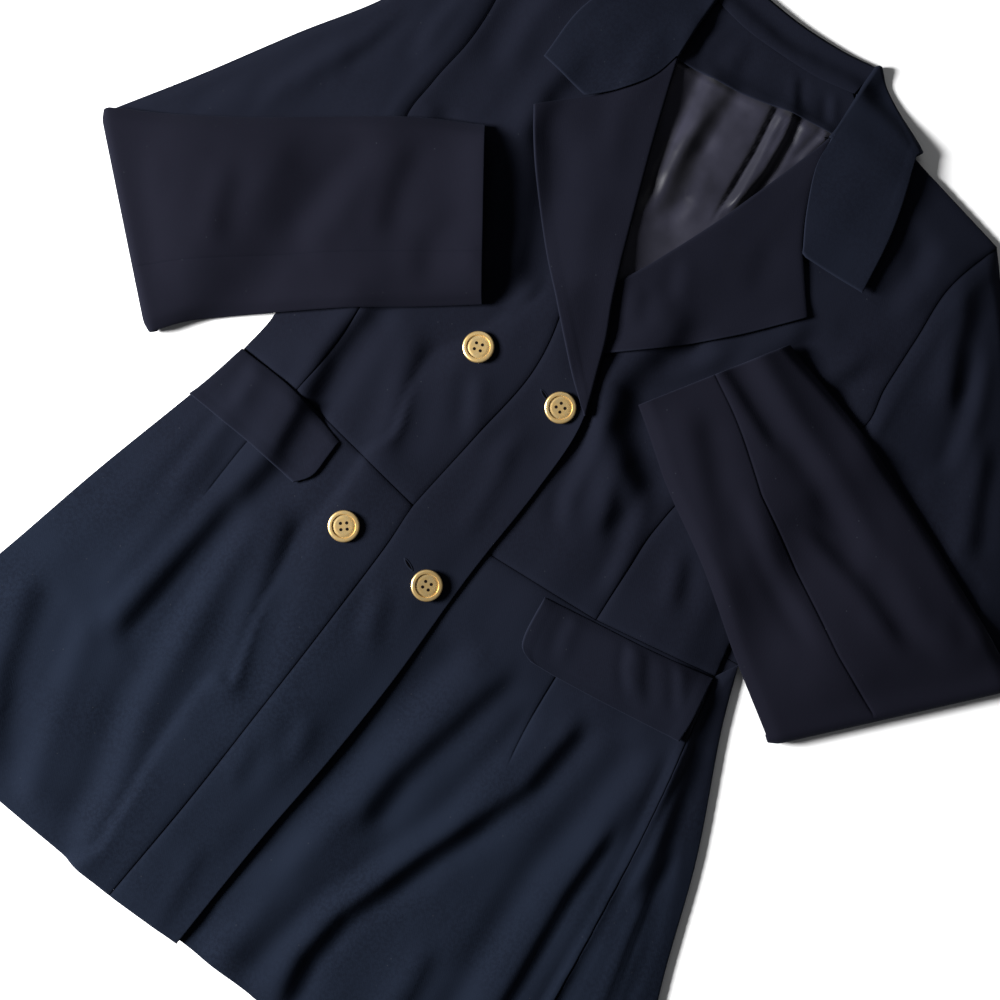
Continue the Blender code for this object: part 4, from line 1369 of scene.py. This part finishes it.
def makeSleeve(side, cut, front, field):
    make, shares = sleeveMake, cut["seamShares"]
    places = sleevePlaces(150, shares[0])
    seamColumn = int(np.argmin(np.abs(places - shares[0])))
    a, b = np.array(cut["fold"], float)
    out = awayFrom(a, b, np.array([0.0, 200.0]))
    pivot = [spot - out * (make["inside"] + make["thick"]) for spot in (a, b)]
    rows = [armholeLine(front), *rowsOf(cut["upper"], "inner outer"), pivot]
    upper, upperAlong = sleeveStretch(rows, places, shares[:1] * 2, (True, False))
    rows = [pivot, *rowsOf(cut["forearm"], "inner outer")]
    lower, lowerAlong = sleeveStretch(rows, places, shares, (False, True))
    under, top = upperHeights(upper, upperAlong, field, seamColumn)
    layOn(pile, withZ(upper, top))
    low, high = lowerHeights(lower, lowerAlong, cut, seamColumn, places)
    under, top = wallPair(upper, under, top)
    low, high = wallPair(lower, low, high)
    turnInner, turnOuter = elbowRows(upper[-1], out)

    # one tube: over the walls that face each other at the elbow, and back under the outer ones
    inner = np.concatenate([top, turnInner, low])
    outer = np.concatenate([under, turnOuter, high])
    loop = np.concatenate([inner, outer[:, -2:0:-1]], axis=1)
    rows, around = loop.shape[:2]
    index = np.arange(rows * around).reshape(rows, around)
    faces = squares(np.concatenate([index, index[:, :1]], axis=1))
    down = lengthsDown(outer)
    girth = lengthsDown(loop[rows // 3])
    flat = np.stack(np.meshgrid(girth, down), axis=-1)
    seam = np.exp(-((np.arange(around) - (around - seamColumn)) ** 2) / 0.8)[None, :]
    # painted light tint, warmer below the elbow
    upperTint, lowerTint = make["tone"]
    tone = upperTint + (lowerTint - upperTint) * smoothStep((down - upperAlong[-1] + 10) / 30)
    marks = {
        # painted shade along the sleeve seam and round the armhole
        "seam": np.maximum(seam, np.exp(-(down**2))[:, None]),
        # painted highlight round the cuff end
        "worn": np.repeat(np.exp(-(((down[-1] - down) / 1.4) ** 2)), around),
        "tone": np.repeat(tone, around),
    }
    points = loop.reshape(-1, 3)
    obj = makeObject(f"{side}Sleeve", (points, faces, index.ravel()), flat, marks, looks["navy"])
    if volumeOf(points - points.mean(axis=0), faces) < 0:
        obj.data.flip_normals()
    solidify = obj.modifiers.new("wall", "SOLIDIFY")
    solidify.thickness = make["wall"] * mm
    solidify.offset = -1
    solidify.use_even_offset = False
    bpy.context.view_layer.objects.active = obj
    bpy.ops.object.modifier_apply(modifier=solidify.name)

    # the cut goes all round the tube
    whole = np.concatenate([upper, lower])
    girths = 2 * rowWidths(whole)[:, -1]
    area = (0.5 * (girths[1:] + girths[:-1]) * np.diff(lengthsDown(whole))).sum() * mm * mm
    nodes = [f"{side}_top_sleeve", f"{side}_under_sleeve", f"{side}_sleeve_front_strip"]
    declare(obj, nodes, (girths.max() * mm, down[-1] * mm, area))
    layOn(pile, high)


makeSleeve("left", leftSleeve, leftFront, overField)
makeSleeve("right", rightSleeve, rightFront, underField)
print("sleeves folded over")

# ---- buttons and buttonholes

buttonMake = {
    "across": 22.5,
    "thick": 3.0,
    "rim": 2.7,
    "round": 1.3,
    "dish": 1.2,
    "crown": 0.22,  # the middle of the dish comes up again
    "seat": 0.35,  # height of the thread shank
    "tip": 0.6,  # share of the cloth's slope that a button follows
    "hole": 2.3,
    "pitch": 4.4,
    "places": ((-61, 108), (10, 105), (-69, -48), (2, -50)),
    "turns": (14, -20, 38, 5),
}


def selectFaces(obj, test):
    bpy.ops.object.mode_set(mode="OBJECT")
    for polygon in obj.data.polygons:
        polygon.select = test(polygon)
    for edge in obj.data.edges:
        edge.select = False
    for vertex in obj.data.vertices:
        vertex.select = False
    for polygon in obj.data.polygons:
        if polygon.select:
            for k in polygon.vertices:
                obj.data.vertices[k].select = True
    bpy.ops.object.mode_set(mode="EDIT")
    bpy.ops.mesh.select_mode(type="FACE")


def makeButtonBody():
    make = buttonMake
    radius = make["across"] / 2 * mm
    thick = make["thick"] * mm
    bpy.ops.mesh.primitive_cylinder_add(vertices=72, radius=radius, depth=thick, location=(0, 0, thick / 2))
    obj = bpy.context.active_object
    obj.name = "buttonPattern"
    bpy.ops.object.mode_set(mode="EDIT")
    selectFaces(obj, lambda f: abs(f.normal.z) > 0.9)
    bpy.ops.mesh.bevel(offset=make["round"] * mm, segments=6, affect="EDGES")
    selectFaces(obj, lambda f: f.normal.z > 0.99)
    bpy.ops.mesh.inset(thickness=(make["rim"] - make["round"]) * mm)
    bpy.ops.mesh.inset(thickness=0.5 * mm)
    bpy.ops.transform.translate(value=(0, 0, -make["dish"] * mm))
    bpy.ops.mesh.inset(thickness=0.45 * mm)
    bpy.ops.mesh.inset(thickness=0.5 * mm)
    bpy.ops.transform.translate(value=(0, 0, make["crown"] * mm))
    bpy.ops.mesh.inset(thickness=1.6 * mm)
    bpy.ops.object.mode_set(mode="OBJECT")
    spot = make["pitch"] / 2 * mm
    height = (make["thick"] - make["dish"] + make["crown"] - 0.21) * mm
    hole = {"vertices": 24, "radius": make["hole"] / 2 * mm, "depth": 0.5 * mm}
    plugs = []
    for x, y in ((-spot, -spot), (spot, -spot), (spot, spot), (-spot, spot)):
        bpy.ops.mesh.primitive_cylinder_add(location=(x, y, height), **hole)  # a dark disc fills each hole: its thread, with the hole's shade painted in
        plugs.append(bpy.context.active_object)
        plugs[-1].data.materials.append(threadAndHoleShade)
    obj.data.materials.clear()
    obj.data.materials.append(looks["gold"])
    for other in bpy.context.selected_objects:
        other.select_set(False)
    obj.select_set(True)
    bpy.context.view_layer.objects.active = obj
    bpy.ops.object.shade_smooth_by_angle(angle=math.radians(38))
    for plug in plugs:
        plug.select_set(True)
    bpy.ops.object.join()
    bpy.ops.object.transform_apply(location=True)
    return obj


def makeButtons():
    model = makeButtonBody()
    for number, (place, turn) in enumerate(zip(buttonMake["places"], buttonMake["turns"]), 1):
        flat = np.array([[place[0] + dx, place[1] + dy] for dx in (-8, 0, 8) for dy in (-8, 0, 8)], float)
        heights = sample(pile, flat)
        height = heights.max() + buttonMake["seat"]
        lean = np.linalg.lstsq(np.column_stack([flat - place, np.ones(9)]), heights, rcond=None)[0]
        tip = buttonMake["tip"]
        up = Vector((-lean[0] * tip, -lean[1] * tip, 1)).normalized()
        mesh = model.data.copy()
        tilt = Vector((0, 0, 1)).rotation_difference(up).to_matrix().to_4x4()
        spin = Matrix.Rotation(math.radians(turn), 4, "Z")
        move = Matrix.Translation((place[0] * mm, place[1] * mm, height * mm))
        mesh.transform(move @ tilt @ spin)
        button = bpy.data.objects.new(f"button{number}", mesh)
        bpy.context.scene.collection.objects.link(button)
        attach(button, "root")
        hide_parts(f"button_{number}")
    bpy.data.objects.remove(model)


buttonholeMake = {
    "ends": (((-9.5, 108.5), (1, 104)), ((-22.5, -42.5), (-11, -47.5))),  # the eye is at the first end
    "bead": 0.4,
    "across": 3.4,
}


def squeezed(value, look):
    # the primitive just added, resized about its middle
    obj = bpy.context.active_object
    bpy.ops.object.mode_set(mode="EDIT")
    bpy.ops.mesh.select_all(action="SELECT")
    bpy.ops.transform.resize(value=value, center_override=(0, 0, 0))
    bpy.ops.object.mode_set(mode="OBJECT")
    obj.data.materials.append(look)
    return obj


def makeButtonhole(number, start, end):
    # a bead of thread round a dark slit
    across = buttonholeMake["across"]
    ring = {"major_segments": 48, "minor_segments": 10, "minor_radius": buttonholeMake["bead"]}
    way = np.array(end, float) - start
    length = np.linalg.norm(way)
    bpy.ops.mesh.primitive_torus_add(major_radius=1, location=(0, 0, 0), **ring)
    bead = squeezed((length / 3.1, across / 3.1, 0.8), threadLook)
    bpy.ops.mesh.primitive_uv_sphere_add(segments=24, ring_count=8, radius=1, location=(0, 0, 0))
    squeezed((length / 2.3, across / 4.2, 0.5), slitLook)
    bead.select_set(True)
    bpy.context.view_layer.objects.active = bead
    bpy.ops.object.join()
    bead.name = f"buttonhole{number}"
    bead.data.shade_smooth()
    middle = (np.array(start) + end) / 2
    move = Matrix.Translation((*middle, sample(pile, np.array([middle]))[0] + 0.1))
    spin = Matrix.Rotation(math.atan2(way[1], way[0]), 4, "Z")
    bead.data.transform(Matrix.Scale(mm, 4) @ move @ spin)
    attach(bead, "root")
    bead.select_set(False)


def plainLook(name, colour, roughness):
    material, tree, shader = newMaterial(name, {"Roughness": roughness, "Specular IOR Level": 0.02})
    dark = tuple(0.6 * part for part in colour[:3]) + (1,)
    grain = pattern(tree, "Noise", Scale=900.0, Detail=2.0)
    tree.links.new(mixColour(tree, grain, dark, colour), shader.inputs["Base Color"])
    return material


threadLook = plainLook("navyThread", (0.009, 0.011, 0.019, 1), 0.7)
slitLook = plainLook("slitShade", (0.0006, 0.0006, 0.001, 1), 0.9)
# painted shade: dark thread colour that also stands for the shade inside the button holes
threadAndHoleShade = plainLook("buttonThreadAndHoleShade", (0.006, 0.004, 0.004, 1), 0.8)
for number, (start, end) in enumerate(buttonholeMake["ends"], 1):
    makeButtonhole(number, start, end)
makeButtons()
print("buttons sewn on")

# ---- floor, light and camera

stageLook = {
    "floor": (0.97, 0.97, 0.97, 1),
    "world": (0.95, 0.97, 1.0, 1),
    "worldStrength": 0.075,
    "key": {"at": (-1.65, -0.845, 1.16), "size": 0.7, "watts": 168},
    "fill": {"at": (-0.6, 1.3, 1.6), "size": 1.2, "watts": 2},
    "cameraTurn": 34.0,
    "cameraHeight": 1.5,
    "frameWidth": 0.7,
    "middle": (0.011, 0.028),
}


def makeFloor():
    bpy.ops.mesh.primitive_plane_add(size=8, location=(0, 0, -0.0002))
    floor = bpy.context.active_object
    floor.name = "floor"
    paper, _, _ = newMaterial("paperFloor", {"Base Color": stageLook["floor"], "Roughness": 0.9})
    floor.data.materials.append(paper)


def makeLight(name, look):
    data = bpy.data.lights.new(name, "AREA")
    data.size = look["size"]
    data.energy = look["watts"]
    light = bpy.data.objects.new(name, data)
    bpy.context.scene.collection.objects.link(light)
    light.location = look["at"]
    toMiddle = Vector((0, 0, 0)) - Vector(look["at"])
    light.rotation_euler = toMiddle.to_track_quat("-Z", "Y").to_euler()


def makeCamera():
    data = bpy.data.cameras.new("camera")
    data.sensor_width = 36
    data.lens = 36 * stageLook["cameraHeight"] / stageLook["frameWidth"]
    camera = bpy.data.objects.new("camera", data)
    bpy.context.scene.collection.objects.link(camera)
    camera.location = (*stageLook["middle"], stageLook["cameraHeight"] + 0.012)
    camera.rotation_euler = (0, 0, math.radians(stageLook["cameraTurn"]))
    bpy.context.scene.camera = camera


makeFloor()
makeLight("keyLight", stageLook["key"])
makeLight("fillLight", stageLook["fill"])
makeCamera()
world = bpy.data.worlds.new("room")
bpy.context.scene.world = world
world.use_nodes = True
world.node_tree.nodes["Background"].inputs["Color"].default_value = stageLook["world"]
world.node_tree.nodes["Background"].inputs["Strength"].default_value = stageLook["worldStrength"]
bpy.context.scene.view_settings.view_transform = "Standard"
print("stage set")

bpy.context.view_layer.update()
